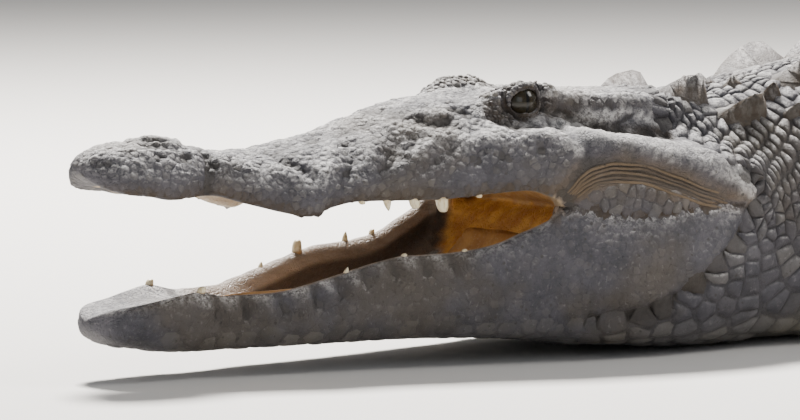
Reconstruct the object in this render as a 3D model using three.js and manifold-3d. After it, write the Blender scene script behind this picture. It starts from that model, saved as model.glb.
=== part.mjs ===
// A large crocodile lying on its belly with its jaws open, as one group of named solids that meet with thin cuts.
// Millimetres, +Z up, the floor at z = 0. The head points to -X, the tail to +X, and the animal's left side is -Y.
// Sections are named by their station: the distance behind the tip of the snout, along the spine.
import * as THREE from "three";
import { mergeVertices } from "three/addons/utils/BufferGeometryUtils.js";
import Module from "manifold-3d";

const wasm = await Module();
wasm.setup();

// ---- Driving dimensions ----
const totalLength = 3800; // snout to tail tip along the spine
const bellyStation = 1400; // the group's origin is on the floor under this station
const snoutRound = 35; // station where the rounded tip of the upper jaw begins
const snoutOverhang = 43; // length of that rounding, so the snout reaches 8 mm ahead of station 0
const snoutMidHeight = 166;
const chinRound = 33;
const chinOverhang = 34;
const chinMidHeight = 48;
const mouthCorner = 391; // where the lips meet
const throatWall = 408; // the mouth is closed behind this station
const headEnd = 575;
const neckEnd = 860;
const trunkEnd = 1905;
const tailCuts = [2500, 3150];
const tailBendStart = 1850;
const tailBend = 0.27; // radians of heading at each half of the tail's S
const cut = 0.4; // gap between neighbouring solids
const crestPitch = 58; // one tail whorl
const eyeRadius = 16;
const eyeStation = 380;
const eyeOut = 43.5; // from the middle of the head to the eyeball's centre
const eyeHeight = 206;

// ---- Curves ----
// A smooth curve through points [x, value] that never overshoots them.
function curve(points) {
  const last = points.length - 1;
  const slope = (i) => (points[i + 1][1] - points[i][1]) / (points[i + 1][0] - points[i][0]);
  const tangent = (i) => {
    if (i === 0) return slope(0);
    if (i === last) return slope(last - 1);
    const [a, b] = [slope(i - 1), slope(i)];
    return a * b <= 0 ? 0 : (2 * a * b) / (a + b);
  };
  const tangents = points.map((_, i) => tangent(i));
  return (x) => {
    if (x <= points[0][0]) return points[0][1];
    if (x >= points[last][0]) return points[last][1];
    let i = 0;
    while (x > points[i + 1][0]) i++;
    const step = points[i + 1][0] - points[i][0];
    const t = (x - points[i][0]) / step;
    const [t2, t3] = [t * t, t * t * t];
    return (
      (2 * t3 - 3 * t2 + 1) * points[i][1] + (t3 - 2 * t2 + t) * step * tangents[i] +
      (3 * t2 - 2 * t3) * points[i + 1][1] + (t3 - t2) * step * tangents[i + 1]
    );
  };
}

// Half widths and heights along the animal, from the head's two bulges and notch to the tip of the tail.
const halfWidth = curve([
  [35, 37], [56, 39.5], [80, 36.5], [98, 30], [115, 34], [145, 48.5], [172, 58], [200, 59.5], [240, 63], [280, 71],
  [320, 81], [350, 89.5], [391, 100], [430, 112], [470, 120], [520, 125], [563, 124], [600, 121], [660, 126],
  [720, 134], [800, 147], [880, 167], [980, 200], [1120, 230], [1320, 247], [1520, 241], [1700, 213], [1820, 179],
  [1900, 153], [1980, 127], [2100, 103], [2400, 80], [2700, 61], [3000, 44], [3300, 29], [3600, 15], [3780, 6],
]);
const topHeight = curve([
  [35, 184.5], [56, 186], [80, 183.5], [98, 179], [122, 175], [148, 173.5], [170, 177.5], [200, 182], [225, 187],
  [257, 196.5], [280, 203.5], [300, 206.5], [330, 208.5], [430, 211], [470, 212.5], [520, 212], [560, 208],
  [600, 211], [660, 221], [720, 230], [800, 240], [880, 250], [980, 263], [1120, 278], [1320, 288], [1520, 286],
  [1700, 273], [1820, 257], [1900, 244], [1980, 230], [2100, 207], [2400, 168], [2700, 133], [3000, 100],
  [3300, 70], [3600, 42], [3780, 24],
]);
// The upper lip, then the crease behind the corner of the mouth, then the widest height of the body.
const lipHeight = curve([
  [35, 146], [56, 142], [80, 143.5], [98, 143], [125, 136], [150, 129], [172, 125], [190, 131], [216, 135],
  [280, 134], [330, 137.5], [357, 139], [380, 132], [391, 124], [420, 120], [450, 116], [480, 118], [505, 121],
  [560, 120], [640, 116], [1000, 112], [1300, 104], [1600, 102], [1800, 104], [1980, 106], [2100, 99], [2400, 82],
  [2700, 65], [3000, 49], [3300, 35], [3600, 21], [3780, 13],
]);
const jawHalfWidth = curve([
  [33, 33], [60, 38], [82, 41.5], [100, 38], [120, 39], [172, 52], [230, 60.5], [300, 76], [350, 90], [391, 100],
]);
const rimHeight = curve([
  [33, 60], [50, 64], [70, 68], [82, 71], [100, 64.5], [130, 64], [150, 65], [172, 70], [200, 77], [234, 86],
  [255, 90], [285, 91], [310, 93], [335, 98.5], [350, 105], [366, 111], [380, 117.5], [391, 123.4],
]);
// The jaw is held a little off the floor; the throat slopes down to it and the belly and tail lie on it.
const bottomHeight = curve([
  [33, 26], [60, 21.5], [90, 20], [200, 21], [290, 20], [350, 17], [411, 11], [450, 8], [530, 2], [570, 0],
  [3300, 0], [3780, 2],
]);
const palateHeight = curve([
  [35, 149], [98, 144], [172, 137], [240, 139], [350, 142], [380, 138], [398, 128], [408, 121.5],
]);
const floorHeight = curve([
  [33, 57], [60, 60], [95, 59], [130, 54], [200, 54], [300, 60], [360, 68], [384, 86], [398, 112], [408, 121],
]);
const sideHeight = (h) => (h < mouthCorner ? rimHeight(h) : lipHeight(h));
const jawWidth = (h) => (h < mouthCorner ? jawHalfWidth(h) : halfWidth(h));

// ---- Section forms ----
// Points from the lip up to the middle of the back, as shares of the half width and of the height above the lip.
const upperForms = [
  [60, [[1, 0], [1.05, 0.2], [1.05, 0.38], [0.98, 0.55], [0.86, 0.72], [0.68, 0.86], [0.45, 0.95], [0.22, 0.99], [0, 1]]],
  [250, [[1, 0], [1.05, 0.18], [1.06, 0.34], [1, 0.5], [0.88, 0.66], [0.7, 0.82], [0.48, 0.94], [0.24, 0.99], [0, 1]]],
  [330, [[1, 0], [1.05, 0.17], [1.06, 0.32], [1.02, 0.47], [0.92, 0.6], [0.73, 0.75], [0.53, 0.95], [0.28, 1.01], [0, 1]]],
  [380, [[1, 0], [1.05, 0.22], [1.06, 0.42], [1.01, 0.58], [0.91, 0.69], [0.66, 0.78], [0.49, 1.13], [0.25, 1.03], [0, 1]]],
  [450, [[1, 0], [1.02, 0.2], [0.97, 0.4], [0.99, 0.5], [0.88, 0.65], [0.53, 0.71], [0.48, 0.95], [0.26, 0.985], [0, 1]]],
  [520, [[1, 0], [1.01, 0.12], [0.98, 0.24], [1, 0.34], [0.92, 0.47], [0.55, 0.67], [0.45, 0.92], [0.25, 0.98], [0, 1]]],
  [563, [[1, 0], [1.0, 0.08], [0.98, 0.17], [0.96, 0.28], [0.87, 0.42], [0.64, 0.64], [0.44, 0.86], [0.22, 0.97], [0, 1]]],
  [650, [[1, 0], [0.985, 0.18], [0.94, 0.36], [0.86, 0.53], [0.74, 0.69], [0.58, 0.83], [0.39, 0.93], [0.2, 0.985], [0, 1]]],
  [1300, [[1, 0], [0.985, 0.17], [0.95, 0.34], [0.88, 0.51], [0.77, 0.67], [0.62, 0.81], [0.44, 0.91], [0.23, 0.975], [0, 1]]],
  [2200, [[1, 0], [0.97, 0.19], [0.9, 0.38], [0.79, 0.56], [0.66, 0.71], [0.51, 0.84], [0.35, 0.93], [0.18, 0.985], [0, 1]]],
];
// Points from the rim of the jaw, or the widest height, down to the middle of the belly.
const lowerForms = [
  [60, [[1, 0], [1.04, 0.25], [1.04, 0.5], [0.98, 0.72], [0.84, 0.9], [0.48, 0.98], [0, 1]]],
  [200, [[1, 0], [1.04, 0.25], [1.05, 0.5], [1.03, 0.74], [0.93, 0.92], [0.6, 0.99], [0, 1]]],
  [450, [[1, 0], [1.03, 0.25], [1.03, 0.5], [0.98, 0.74], [0.88, 0.92], [0.55, 0.99], [0, 1]]],
  [600, [[1, 0], [1, 0.25], [0.97, 0.5], [0.9, 0.74], [0.76, 0.91], [0.46, 1], [0, 1]]],
  [1300, [[1, 0], [0.995, 0.26], [0.97, 0.51], [0.91, 0.75], [0.78, 0.92], [0.46, 1], [0, 1]]],
  [2200, [[1, 0], [0.98, 0.26], [0.91, 0.51], [0.79, 0.74], [0.6, 0.91], [0.32, 1], [0, 1]]],
];

// The form at a station, as one curve per coordinate of each of its points.
function formCurves(forms) {
  return forms[0][1].map((_, i) => [0, 1].map((axis) => curve(forms.map(([h, points]) => [h, points[i][axis]]))));
}
const upperForm = formCurves(upperForms);
const lowerForm = formCurves(lowerForms);

// Resamples a polyline of [y, z] to count + 1 points on a smooth curve through it.
function smoothPolyline(points, count) {
  const spline = new THREE.SplineCurve(points.map(([y, z]) => new THREE.Vector2(y, z)));
  return spline.getPoints(count).map((p) => [p.x, p.y]);
}

function upperHalf(h, count) {
  const [w, low, high] = [halfWidth(h), lipHeight(h), topHeight(h)];
  const points = upperForm.map(([y, z]) => [y(h) * w, low + z(h) * (high - low)]);
  return smoothPolyline(points, count);
}

function lowerHalf(h, count) {
  const [w, high, low] = [jawWidth(h), sideHeight(h), bottomHeight(h)];
  const points = lowerForm.map(([y, z]) => [y(h) * w, Math.max(high + z(h) * (low - high), 0)]);
  return smoothPolyline(points, count).map(([y, z]) => [y, Math.max(z, 0)]);
}

const mirrored = (half) => half.map(([y, z]) => [-y, z]);

// ---- The spine ----
// Straight to the hips, then one flat S along the tail.
const spineStep = 5;
const spine = [];
for (let h = 0, x = -bellyStation, y = 0; h <= totalLength + 100; h += spineStep) {
  const along = Math.max(0, (h - tailBendStart) / (totalLength - tailBendStart));
  const heading = tailBend * Math.sin(2 * Math.PI * along) * Math.min(1, 4 * along);
  spine.push({ x, y, heading });
  x += spineStep * Math.cos(heading);
  y += spineStep * Math.sin(heading);
}
function place(h, y, z) {
  if (h <= tailBendStart) return new THREE.Vector3(h - bellyStation, y, z);
  const i = Math.min(Math.floor(h / spineStep), spine.length - 2);
  const t = h / spineStep - i;
  const [a, b] = [spine[i], spine[i + 1]];
  const heading = a.heading + t * (b.heading - a.heading);
  return new THREE.Vector3(
    a.x + t * (b.x - a.x) - y * Math.sin(heading),
    a.y + t * (b.y - a.y) + y * Math.cos(heading),
    z,
  );
}

// ---- Solids from rings ----
// A closed solid through rings of points that all have the same count, with a fan at each end.
function loft(rings) {
  const count = rings[0].length;
  const positions = rings.flat().flatMap((p) => [p.x, p.y, p.z]);
  const indices = [];
  for (let i = 0; i + 1 < rings.length; i++) {
    for (let j = 0; j < count; j++) {
      const k = (j + 1) % count;
      const [a, b, c, d] = [i * count + j, i * count + k, (i + 1) * count + k, (i + 1) * count + j];
      indices.push(a, b, c, a, c, d);
    }
  }
  const fan = (ring, start, turned) => {
    const middle = ring.reduce((sum, p) => sum.add(p), new THREE.Vector3()).divideScalar(count);
    const apex = positions.length / 3;
    positions.push(middle.x, middle.y, middle.z);
    for (let j = 0; j < count; j++) {
      const [a, b] = [start + j, start + ((j + 1) % count)];
      indices.push(...(turned ? [b, a, apex] : [a, b, apex]));
    }
  };
  fan(rings[0], 0, true);
  fan(rings[rings.length - 1], (rings.length - 1) * count, false);
  const geometry = new THREE.BufferGeometry();
  geometry.setAttribute("position", new THREE.Float32BufferAttribute(positions, 3));
  geometry.setIndex(indices);
  return geometry;
}

function solidOf(geometry) {
  const plain = geometry.clone();
  plain.deleteAttribute("normal");
  plain.deleteAttribute("uv");
  const merged = mergeVertices(plain, 1e-3);
  const make = (order) => new wasm.Manifold(new wasm.Mesh({
    numProp: 3,
    vertProperties: new Float32Array(merged.attributes.position.array),
    triVerts: new Uint32Array(order),
  }));
  const order = Array.from(merged.index.array);
  const solid = make(order);
  if (solid.volume() > 0) return solid;
  for (let i = 0; i < order.length; i += 3) [order[i + 1], order[i + 2]] = [order[i + 2], order[i + 1]];
  return make(order);
}

function geometryOf(solid) {
  const mesh = solid.getMesh();
  const geometry = new THREE.BufferGeometry();
  const positions = [];
  for (let i = 0; i < mesh.numVert; i++) {
    positions.push(...mesh.vertProperties.subarray(i * mesh.numProp, i * mesh.numProp + 3));
  }
  geometry.setAttribute("position", new THREE.Float32BufferAttribute(positions, 3));
  geometry.setIndex(Array.from(mesh.triVerts));
  geometry.computeVertexNormals();
  return geometry;
}

const joined = (first, others) => others.reduce((whole, next) => whole.add(next), first);

// ---- Materials ----
const material = (color, roughness) => new THREE.MeshStandardMaterial({ color, roughness, metalness: 0 });
const hide = material(0x6d6c70, 0.7);
const mouthSkin = material(0xb98f66, 0.5);
const eyeGloss = material(0x3a3326, 0.1);
const clawHorn = material(0x4a4440, 0.45);

const crocodile = new THREE.Group();
function addPart(name, solid, look) {
  const mesh = new THREE.Mesh(geometryOf(solid), look);
  mesh.name = name;
  crocodile.add(mesh);
}

// ---- Head ----
const upperPoints = 9; // points on half of the head's outer section
const lowerPoints = 6;

// The roof of the mouth from the left lip to the right, inside the lips.
function palateArc(h) {
  const [w, lip] = [halfWidth(h), lipHeight(h)];
  const roof = h < throatWall ? palateHeight(h) : lip + cut / 2;
  const edge = h < throatWall ? lip + 0.5 : roof;
  const half = [[w - 7, edge], [w - 13, (edge + roof) / 2], [w * 0.6, roof], [0, roof]];
  return [...half, ...mirrored(half).reverse().slice(1)];
}

// The floor of the mouth from the left rim to the right.
function floorArc(h) {
  const [w, rim] = [jawWidth(h), sideHeight(h) - cut / 2];
  const bed = h < throatWall ? Math.min(floorHeight(h), rim) : rim;
  const half = [[w - 8, rim], [w - 12, (rim + bed) / 2], [w - 17, bed], [0, bed]];
  return [...half, ...mirrored(half).reverse().slice(1)];
}

function skullSection(h) {
  const half = upperHalf(h, upperPoints);
  if (h >= mouthCorner) half[0][1] += cut / 2;
  return [...half, ...mirrored(half).reverse().slice(1), ...mirrored(palateArc(h))];
}

function jawSection(h) {
  const half = lowerHalf(h, lowerPoints);
  half[0][1] -= cut / 2;
  return [...half, ...mirrored(half).reverse().slice(1), ...mirrored(floorArc(h))];
}

// Rings for a rounded tip: the section where the rounding starts, shrunk about its middle like the end of an egg.
function tipRings(section, start, overhang, midHeight) {
  const shares = [0.99, 0.88, 0.66, 0.34];
  return shares.map((share) => {
    const size = Math.sqrt(1 - share * share);
    return section(start).map(([y, z]) => place(start - overhang * share, y * size, midHeight + (z - midHeight) * size));
  });
}

const ringAt = (section) => (h) => section(h).map(([y, z]) => place(h, y, z));
const stationsBetween = (from, to, count) => Array.from({ length: count + 1 }, (_, i) => from + ((to - from) * i) / count);

const headStations = [35, 52, 68, 84, 98, 115, 150, 172, 190, 225, 265, 305, 342, 365, 391, 400, 408, 450, 515, headEnd];

const ellipsoid = (h, y, z, radii) => solidOf(new THREE.SphereGeometry(1, 8, 5)
  .scale(radii[0], radii[1], radii[2]).translate(h - bellyStation, y, z));

// A tooth is a short cone that stands in the gum beside the lip and points down (-1) or up (1).
function tooth(h, side, edgeHeight, width, length, radius, way) {
  const cone = new THREE.ConeGeometry(radius, length + 6, 4).rotateX((way * Math.PI) / 2);
  return solidOf(cone.translate(h - bellyStation, side * (width - 4), edgeHeight + way * (length / 2 - 3)));
}
const upperTeeth = [[133, 4, 3], [219, 4, 3], [242, 6, 3], [265, 5, 3.4], [287, 9, 4]];
const lowerTeeth = [[82, 4, 3.2], [161, 6, 2.8], [211, 5, 2.6], [300, 5, 2.6]];

function eyeBall(side, extra) {
  const ball = new THREE.SphereGeometry(eyeRadius + extra, 10, 5);
  return solidOf(ball.translate(eyeStation - bellyStation, side * eyeOut, eyeHeight));
}

// A keeled plate: a low ridge that stands on the back, highest towards its rear.
function keel(h, y, length, width, height) {
  const top = upperHalf(h, 40).reduce((best, p) => (Math.abs(p[0] - Math.abs(y)) < Math.abs(best[0] - Math.abs(y)) ? p : best));
  const shares = [[-0.5, 0.25], [0.2, 1], [0.5, 0.5]];
  const rings = shares.map(([along, high]) => {
    const half = width / 2;
    return [[half, -8], [half * 0.55, height * high * 0.45], [0, height * high], [-half * 0.55, height * high * 0.45], [-half, -8]]
      .map(([dy, dz]) => place(h + along * length, y + dy, top[1] + dz));
  });
  return solidOf(loft(rings));
}
// Each plate is [station, distance from the middle, length, width, height].
const headPlates = [[545, 41, 58, 34, 16]];
const neckPlates = [[604, 84, 50, 26, 12], [660, 40, 80, 44, 17], [738, 34, 60, 40, 14], [712, 84, 60, 30, 12]];
const platesOf = (list) => [-1, 1].flatMap((side) => list.map(([h, y, ...size]) => keel(h, side * y, ...size)));

function buildSkull() {
  const rings = [
    ...tipRings(skullSection, snoutRound, snoutOverhang, snoutMidHeight),
    ...headStations.map(ringAt(skullSection)),
  ];
  const teeth = [-1, 1].flatMap((side) => upperTeeth.map(([h, length, radius]) =>
    tooth(h, side, lipHeight(h), halfWidth(h), length, radius, -1)));
  const nostrilPad = ellipsoid(63, 0, 180, [21, 20, 9.5]);
  const cheeks = [-1, 1].map((side) => ellipsoid(172, side * 50, 136, [17, 12, 11]));
  const whole = joined(solidOf(loft(rings)), [nostrilPad, ...cheeks, ...teeth, ...platesOf(headPlates)]);
  return whole.subtract(eyeBall(-1, cut)).subtract(eyeBall(1, cut));
}

function buildJaw() {
  const rings = [
    ...tipRings(jawSection, chinRound, chinOverhang, chinMidHeight),
    ...headStations.map((h) => Math.max(h, chinRound)).map(ringAt(jawSection)),
  ];
  const teeth = [-1, 1].flatMap((side) => lowerTeeth.map(([h, length, radius]) =>
    tooth(h, side, rimHeight(h), jawHalfWidth(h), length, radius, 1)));
  return joined(solidOf(loft(rings)), teeth);
}

// The tongue lies on the floor of the mouth, a low pad with a round front.
function buildTongue() {
  const stations = headStations.filter((h) => h > 115 && h < 391);
  const front = stations[0];
  const rings = stations.map((h) => {
    const share = Math.min(1, (h - front) / 60);
    const w = (jawHalfWidth(h) - 24) * Math.sqrt(share * (1.9 - 0.9 * share) + 0.06);
    const bed = floorHeight(h) + cut;
    const rise = 1.5 + 6 * Math.sqrt(share);
    const outline = [[w, bed], [w * 0.9, bed + rise * 0.6], [w * 0.5, bed + rise], [0, bed + rise * 0.9]];
    return [...outline, ...mirrored(outline).reverse().slice(1)].map(([y, z]) => place(h, y, z));
  });
  return solidOf(loft(rings));
}

// ---- Neck, trunk and tail ----
const bodyUpperPoints = 7;
const bodyLowerPoints = 4;
// The lowest points are two, one on each side at the same height, so the animal lies on one flat strip.
function bodySection(h, grow = 0) {
  const up = upperHalf(h, bodyUpperPoints);
  const down = lowerHalf(h, bodyLowerPoints).slice(1, -1);
  down[down.length - 1][1] = bottomHeight(h);
  const half = [...up.reverse(), ...down];
  const low = grow > 0 ? -1 : 0;
  const wide = half.map(([y, z]) => [y * (1 + grow / halfWidth(h)), z > 0 ? z + (grow * (z - 110)) / 110 : low]);
  return [...wide, ...mirrored(wide).reverse().slice(0, -1)];
}
const bodySolid = (stations, grow) => solidOf(loft(stations.map((h) => bodySection(h, grow).map(([y, z]) => place(h, y, z)))));

const neckStations = stationsBetween(headEnd + cut, neckEnd - cut, 6);
const trunkStations = stationsBetween(neckEnd, trunkEnd, 11);
const tailStations = (from, to) => stationsBetween(from + cut, to, 6);

function buildNeck() {
  return joined(bodySolid(neckStations), platesOf(neckPlates));
}

// The tail's upright crest is a row of teeth, one for each whorl: two rows at first, then one along the middle.
const crestHeight = curve([[2060, 8], [2200, 20], [2500, 38], [2800, 46], [3200, 36], [3600, 20], [3790, 7]]);
const crestSplit = curve([[2060, 32], [2300, 24], [2600, 13], [2780, 0]]);
const crestStart = 2060;
const crestJoin = 2780;
function crestRow(from, to, side) {
  const rings = [];
  for (let h = from; h < to - 1; h += crestPitch) {
    const end = Math.min(h + crestPitch, to);
    for (const [along, share] of [[0.06, 0.4], [0.86, 1]]) {
      const at = h + (end - h) * along;
      const y = side * crestSplit(at);
      const thick = 3 + crestHeight(at) * 0.12;
      const base = topHeight(at) - 10;
      const tip = topHeight(at) - 2 + crestHeight(at) * share;
      rings.push([[y - thick, base], [y + thick, base], [y, tip]].map(([dy, z]) => place(at, dy, z)));
    }
  }
  return solidOf(loft(rings));
}
function buildTail(from, to) {
  const crests = [];
  for (const side of [-1, 1]) {
    if (from < crestJoin) crests.push(crestRow(Math.max(from, crestStart) + 1, Math.min(to, crestJoin) - 1, side));
  }
  if (to > crestJoin) crests.push(crestRow(Math.max(from, crestJoin - 4) + 1, to - 1, 0));
  return joined(bodySolid(tailStations(from, to)), crests);
}

// ---- Legs ----
// Each joint is [station, distance out, height, radius]: shoulder or hip, muscle, elbow or knee, muscle, wrist or ankle.
const limbs = {
  fore: {
    joints: [[925, 110, 112, 54], [962, 205, 98, 47], [988, 276, 72, 36], [945, 325, 50, 35], [900, 352, 27, 25]],
    names: ["upper_arm", "forearm", "hand"],
    palm: { length: 62, width: 76, height: 36, heading: 2.5 },
    toes: [[0.8, 44, 11.5], [0.4, 58, 12], [0, 62, 12], [-0.4, 54, 10.5], [-0.8, 42, 9]],
  },
  hind: {
    joints: [[1838, 95, 112, 74], [1795, 205, 108, 66], [1748, 292, 86, 47], [1808, 345, 62, 45], [1866, 378, 34, 31]],
    names: ["thigh", "shin", "foot"],
    palm: { length: 112, width: 96, height: 42, heading: 2.45 },
    toes: [[0.42, 74, 13.5], [0.15, 96, 14], [-0.14, 92, 13], [-0.42, 72, 11]],
  },
};
const limbSides = 7;
const elbowJoint = 2;
const clawedToes = 3;
const upAxis = new THREE.Vector3(0, 0, 1);
const jointPoint = (side, [h, y, z]) => new THREE.Vector3(h - bellyStation, side * y, z);
const headingOf = (from, to) => to.clone().sub(from).normalize();

// A round-ended cone from one joint to the next.
function limbSegment(side, from, to) {
  const [a, b] = [jointPoint(side, from), jointPoint(side, to)];
  const length = a.distanceTo(b);
  const profile = [-1, -0.7, 0].map((share) => [share * from[3], from[3] * Math.sqrt(1 - share * share)]);
  profile.push(...[0, 0.7, 1].map((share) => [length + share * to[3], to[3] * Math.sqrt(1 - share * share)]));
  const points = profile.map(([along, radius]) => new THREE.Vector2(radius, along));
  const turn = new THREE.Quaternion().setFromUnitVectors(new THREE.Vector3(0, 1, 0), headingOf(a, b));
  return solidOf(new THREE.LatheGeometry(points, limbSides).applyQuaternion(turn).translate(a.x, a.y, a.z));
}
function limbBetween(side, joints) {
  const segments = joints.slice(1).map((joint, i) => limbSegment(side, joints[i], joint));
  return joined(segments[0], segments.slice(1));
}

// Everything beyond a plane through a point, as a large block.
function beyond(point, direction) {
  const size = 1200;
  const turn = new THREE.Quaternion().setFromUnitVectors(upAxis, direction);
  const middle = point.clone().addScaledVector(direction, size / 2 + cut / 2);
  return solidOf(new THREE.BoxGeometry(size, size, size).applyQuaternion(turn).translate(middle.x, middle.y, middle.z));
}
const aboveFloor = beyond(new THREE.Vector3(0, 0, -cut / 2), upAxis);

// A flat-soled loft from the ankle to the knuckles.
function palmSolid(start, ahead, palm) {
  const across = new THREE.Vector3(-ahead.y, ahead.x, 0);
  const outline = [[1, 0.35], [0.8, 0.85], [0.35, 1], [-0.35, 1], [-0.8, 0.85], [-1, 0.35], [-0.85, 0], [0.85, 0]];
  const shares = [[-0.15, 0.5, 1], [0.1, 0.66, 1.1], [0.5, 0.86, 0.85], [1, 1, 0.55], [1.35, 1.2, 0.16]];
  return solidOf(loft(shares.map(([along, wide, high]) => outline.map(([a, b]) =>
    new THREE.Vector3(start.x, start.y, palm.height * high * b)
      .addScaledVector(ahead, palm.length * along).addScaledVector(across, (palm.width / 2) * wide * a)))));
}

// Rings along a digit: [share of its length, thickness, height of its middle], the last two as shares of its radius.
function digitRings(root, direction, length, radius, shares) {
  const across = new THREE.Vector3(-direction.y, direction.x, 0);
  return shares.map(([along, thick, lift]) => Array.from({ length: digitSides }, (_, k) => {
    const angle = (2 * Math.PI * (k + 0.5)) / digitSides;
    const p = root.clone().addScaledVector(direction, length * along);
    p.addScaledVector(across, radius * thick * Math.cos(angle));
    p.z = Math.max(0, radius * (lift + thick * Math.sin(angle)));
    return p;
  }));
}
const digitSides = 5;
const toeShares = [[0, 1.05, 1.2], [1, 0.62, 0.7]];
const clawShares = (length) => [[1 + cut / length, 0.56, 0.68], [1.2, 0.4, 0.56], [1.38, 0.06, 0.1]];

function buildFoot(limb, side, word) {
  const { joints, palm, toes } = limbs[limb];
  const ahead = new THREE.Vector3(Math.cos(palm.heading), side * Math.sin(palm.heading), 0);
  const across = new THREE.Vector3(-ahead.y, ahead.x, 0).multiplyScalar(side);
  const ankle = jointPoint(side, joints[joints.length - 1]).setZ(0);
  const digits = toes.map(([spread, length, radius], i) => {
    const sideways = palm.width * 0.4 * (1 - (2 * i) / (toes.length - 1));
    const root = ankle.clone().addScaledVector(ahead, palm.length * 0.82).addScaledVector(across, sideways);
    const direction = ahead.clone().applyAxisAngle(upAxis, side * spread);
    if (i < clawedToes) {
      const claw = solidOf(loft(digitRings(root, direction, length, radius, clawShares(length))));
      addPart(`claw_${limb}_${word}_${i + 1}`, claw, clawHorn);
    }
    return solidOf(loft(digitRings(root, direction, length, radius, toeShares)));
  });
  return joined(palmSolid(ankle, ahead, palm), digits);
}

function buildLeg(limb, side, word, bodyAround) {
  const { joints, names, palm } = limbs[limb];
  const points = joints.map((joint) => jointPoint(side, joint));
  const elbow = points[elbowJoint];
  const wrist = points[points.length - 1];
  const bend = headingOf(points[elbowJoint - 1], elbow).add(headingOf(elbow, points[elbowJoint + 1])).normalize();
  const ahead = new THREE.Vector3(Math.cos(palm.heading), side * Math.sin(palm.heading), 0);
  const end = headingOf(points[points.length - 2], wrist).setZ(0).normalize().add(ahead).normalize();
  const upper = limbBetween(side, joints.slice(0, elbowJoint + 1));
  const lower = limbBetween(side, joints.slice(elbowJoint)).intersect(aboveFloor);
  const foot = lower.intersect(beyond(wrist, end)).add(buildFoot(limb, side, word).intersect(beyond(wrist, end)));
  addPart(`${names[0]}_${word}`, upper.intersect(beyond(elbow, bend.clone().negate())).subtract(bodyAround), hide);
  addPart(`${names[1]}_${word}`, lower.intersect(beyond(elbow, bend)).intersect(beyond(wrist, end.clone().negate())), hide);
  addPart(`${names[2]}_${word}`, foot, hide);
}

// ---- The animal ----
addPart("skull", buildSkull(), hide);
addPart("jaw_lower", buildJaw(), hide);
addPart("tongue", buildTongue(), mouthSkin);
addPart("eye_left", eyeBall(-1, 0), eyeGloss);
addPart("eye_right", eyeBall(1, 0), eyeGloss);
addPart("neck", buildNeck(), hide);
addPart("trunk", bodySolid(trunkStations), hide);
[trunkEnd, ...tailCuts].forEach((from, i, starts) => {
  const to = starts[i + 1] ?? totalLength - 20;
  addPart(["tail_base", "tail_middle", "tail_tip"][i], buildTail(from, to), hide);
});
const besideLegs = [...neckStations.slice(2), ...trunkStations.slice(1), ...tailStations(trunkEnd, tailCuts[0]).slice(1, 4)];
const bodyAround = bodySolid(besideLegs, cut + 0.3);
for (const [side, word] of [[-1, "left"], [1, "right"]]) {
  buildLeg("fore", side, word, bodyAround);
  buildLeg("hind", side, word, bodyAround);
}

export default crocodile;
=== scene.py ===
# A large crocodile lying on its belly with its jaws open, in the finish of a museum model.
# Heights and stations are worked out in millimetres and written to the meshes in metres.
# A station h is the distance behind the tip of the snout, along the spine.
import math
import bmesh
import bpy
import numpy as np
from mathutils import Matrix, Vector, noise
from mathutils.bvhtree import BVHTree
from mathutils.kdtree import KDTree


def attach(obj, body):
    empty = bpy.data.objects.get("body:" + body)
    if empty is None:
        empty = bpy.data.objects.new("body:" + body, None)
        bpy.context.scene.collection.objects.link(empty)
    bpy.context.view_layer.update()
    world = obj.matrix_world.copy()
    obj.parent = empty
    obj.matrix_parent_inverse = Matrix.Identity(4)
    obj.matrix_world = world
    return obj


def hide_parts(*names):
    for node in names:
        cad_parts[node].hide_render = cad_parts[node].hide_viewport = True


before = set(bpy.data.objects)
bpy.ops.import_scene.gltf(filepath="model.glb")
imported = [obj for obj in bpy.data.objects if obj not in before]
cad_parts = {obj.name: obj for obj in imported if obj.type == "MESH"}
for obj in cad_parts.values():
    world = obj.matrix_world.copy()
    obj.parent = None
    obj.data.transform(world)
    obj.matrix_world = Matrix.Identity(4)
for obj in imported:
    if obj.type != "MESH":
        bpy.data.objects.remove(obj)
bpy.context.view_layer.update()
metre = 0.001
rng = np.random.default_rng(7)


def meshFrom(bm, name):
    mesh = bpy.data.meshes.new(name)
    bm.to_mesh(mesh)
    bm.free()
    return mesh


def addObject(name, data):
    made = bpy.data.objects.new(name, data)
    bpy.context.collection.objects.link(made)
    return made


# view, floor and light
view = {
    "target": (-1.104, 0.0, 0.120),
    "distance": 4.4,
    "yaw": 35.0,          # degrees off the side view, towards the snout
    "elevation": 4.7,
    "lens": 247.5,
    "sensor": 36,
    "farthest": 200,
    "floorSize": 60.0,
}


def makeView():
    target = Vector(view["target"])
    yaw, elevation = math.radians(view["yaw"]), math.radians(view["elevation"])
    level = math.cos(elevation)
    ahead = Vector((math.sin(yaw) * level, math.cos(yaw) * level, -math.sin(elevation)))
    data = bpy.data.cameras.new("view")
    data.lens = view["lens"]
    data.sensor_width = view["sensor"]
    data.clip_end = view["farthest"]
    camera = addObject("view", data)
    camera.location = target - ahead * view["distance"]
    camera.rotation_euler = ahead.to_track_quat("-Z", "Y").to_euler()
    bpy.context.scene.camera = camera


lighting = {
    # name: (place, aimed at, size, watts, colour)
    "key": ((-0.2, 2.2, 3.6), (-0.8, 0.0, 0.1), 0.9, 900, (1.0, 0.97, 0.93)),
    "fill": ((-3.4, -3.6, 1.6), (-0.9, 0.0, 0.1), 2.4, 34, (0.86, 0.93, 1.0)),
    "tailLight": ((2.6, -1.8, 3.2), (0.9, 0.0, 0.1), 2.0, 120, (1.0, 0.98, 0.95)),
}
studio = {"colour": (0.90, 0.92, 0.96, 1), "strength": 0.30, "floor": (0.72, 0.70, 0.67)}


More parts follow.
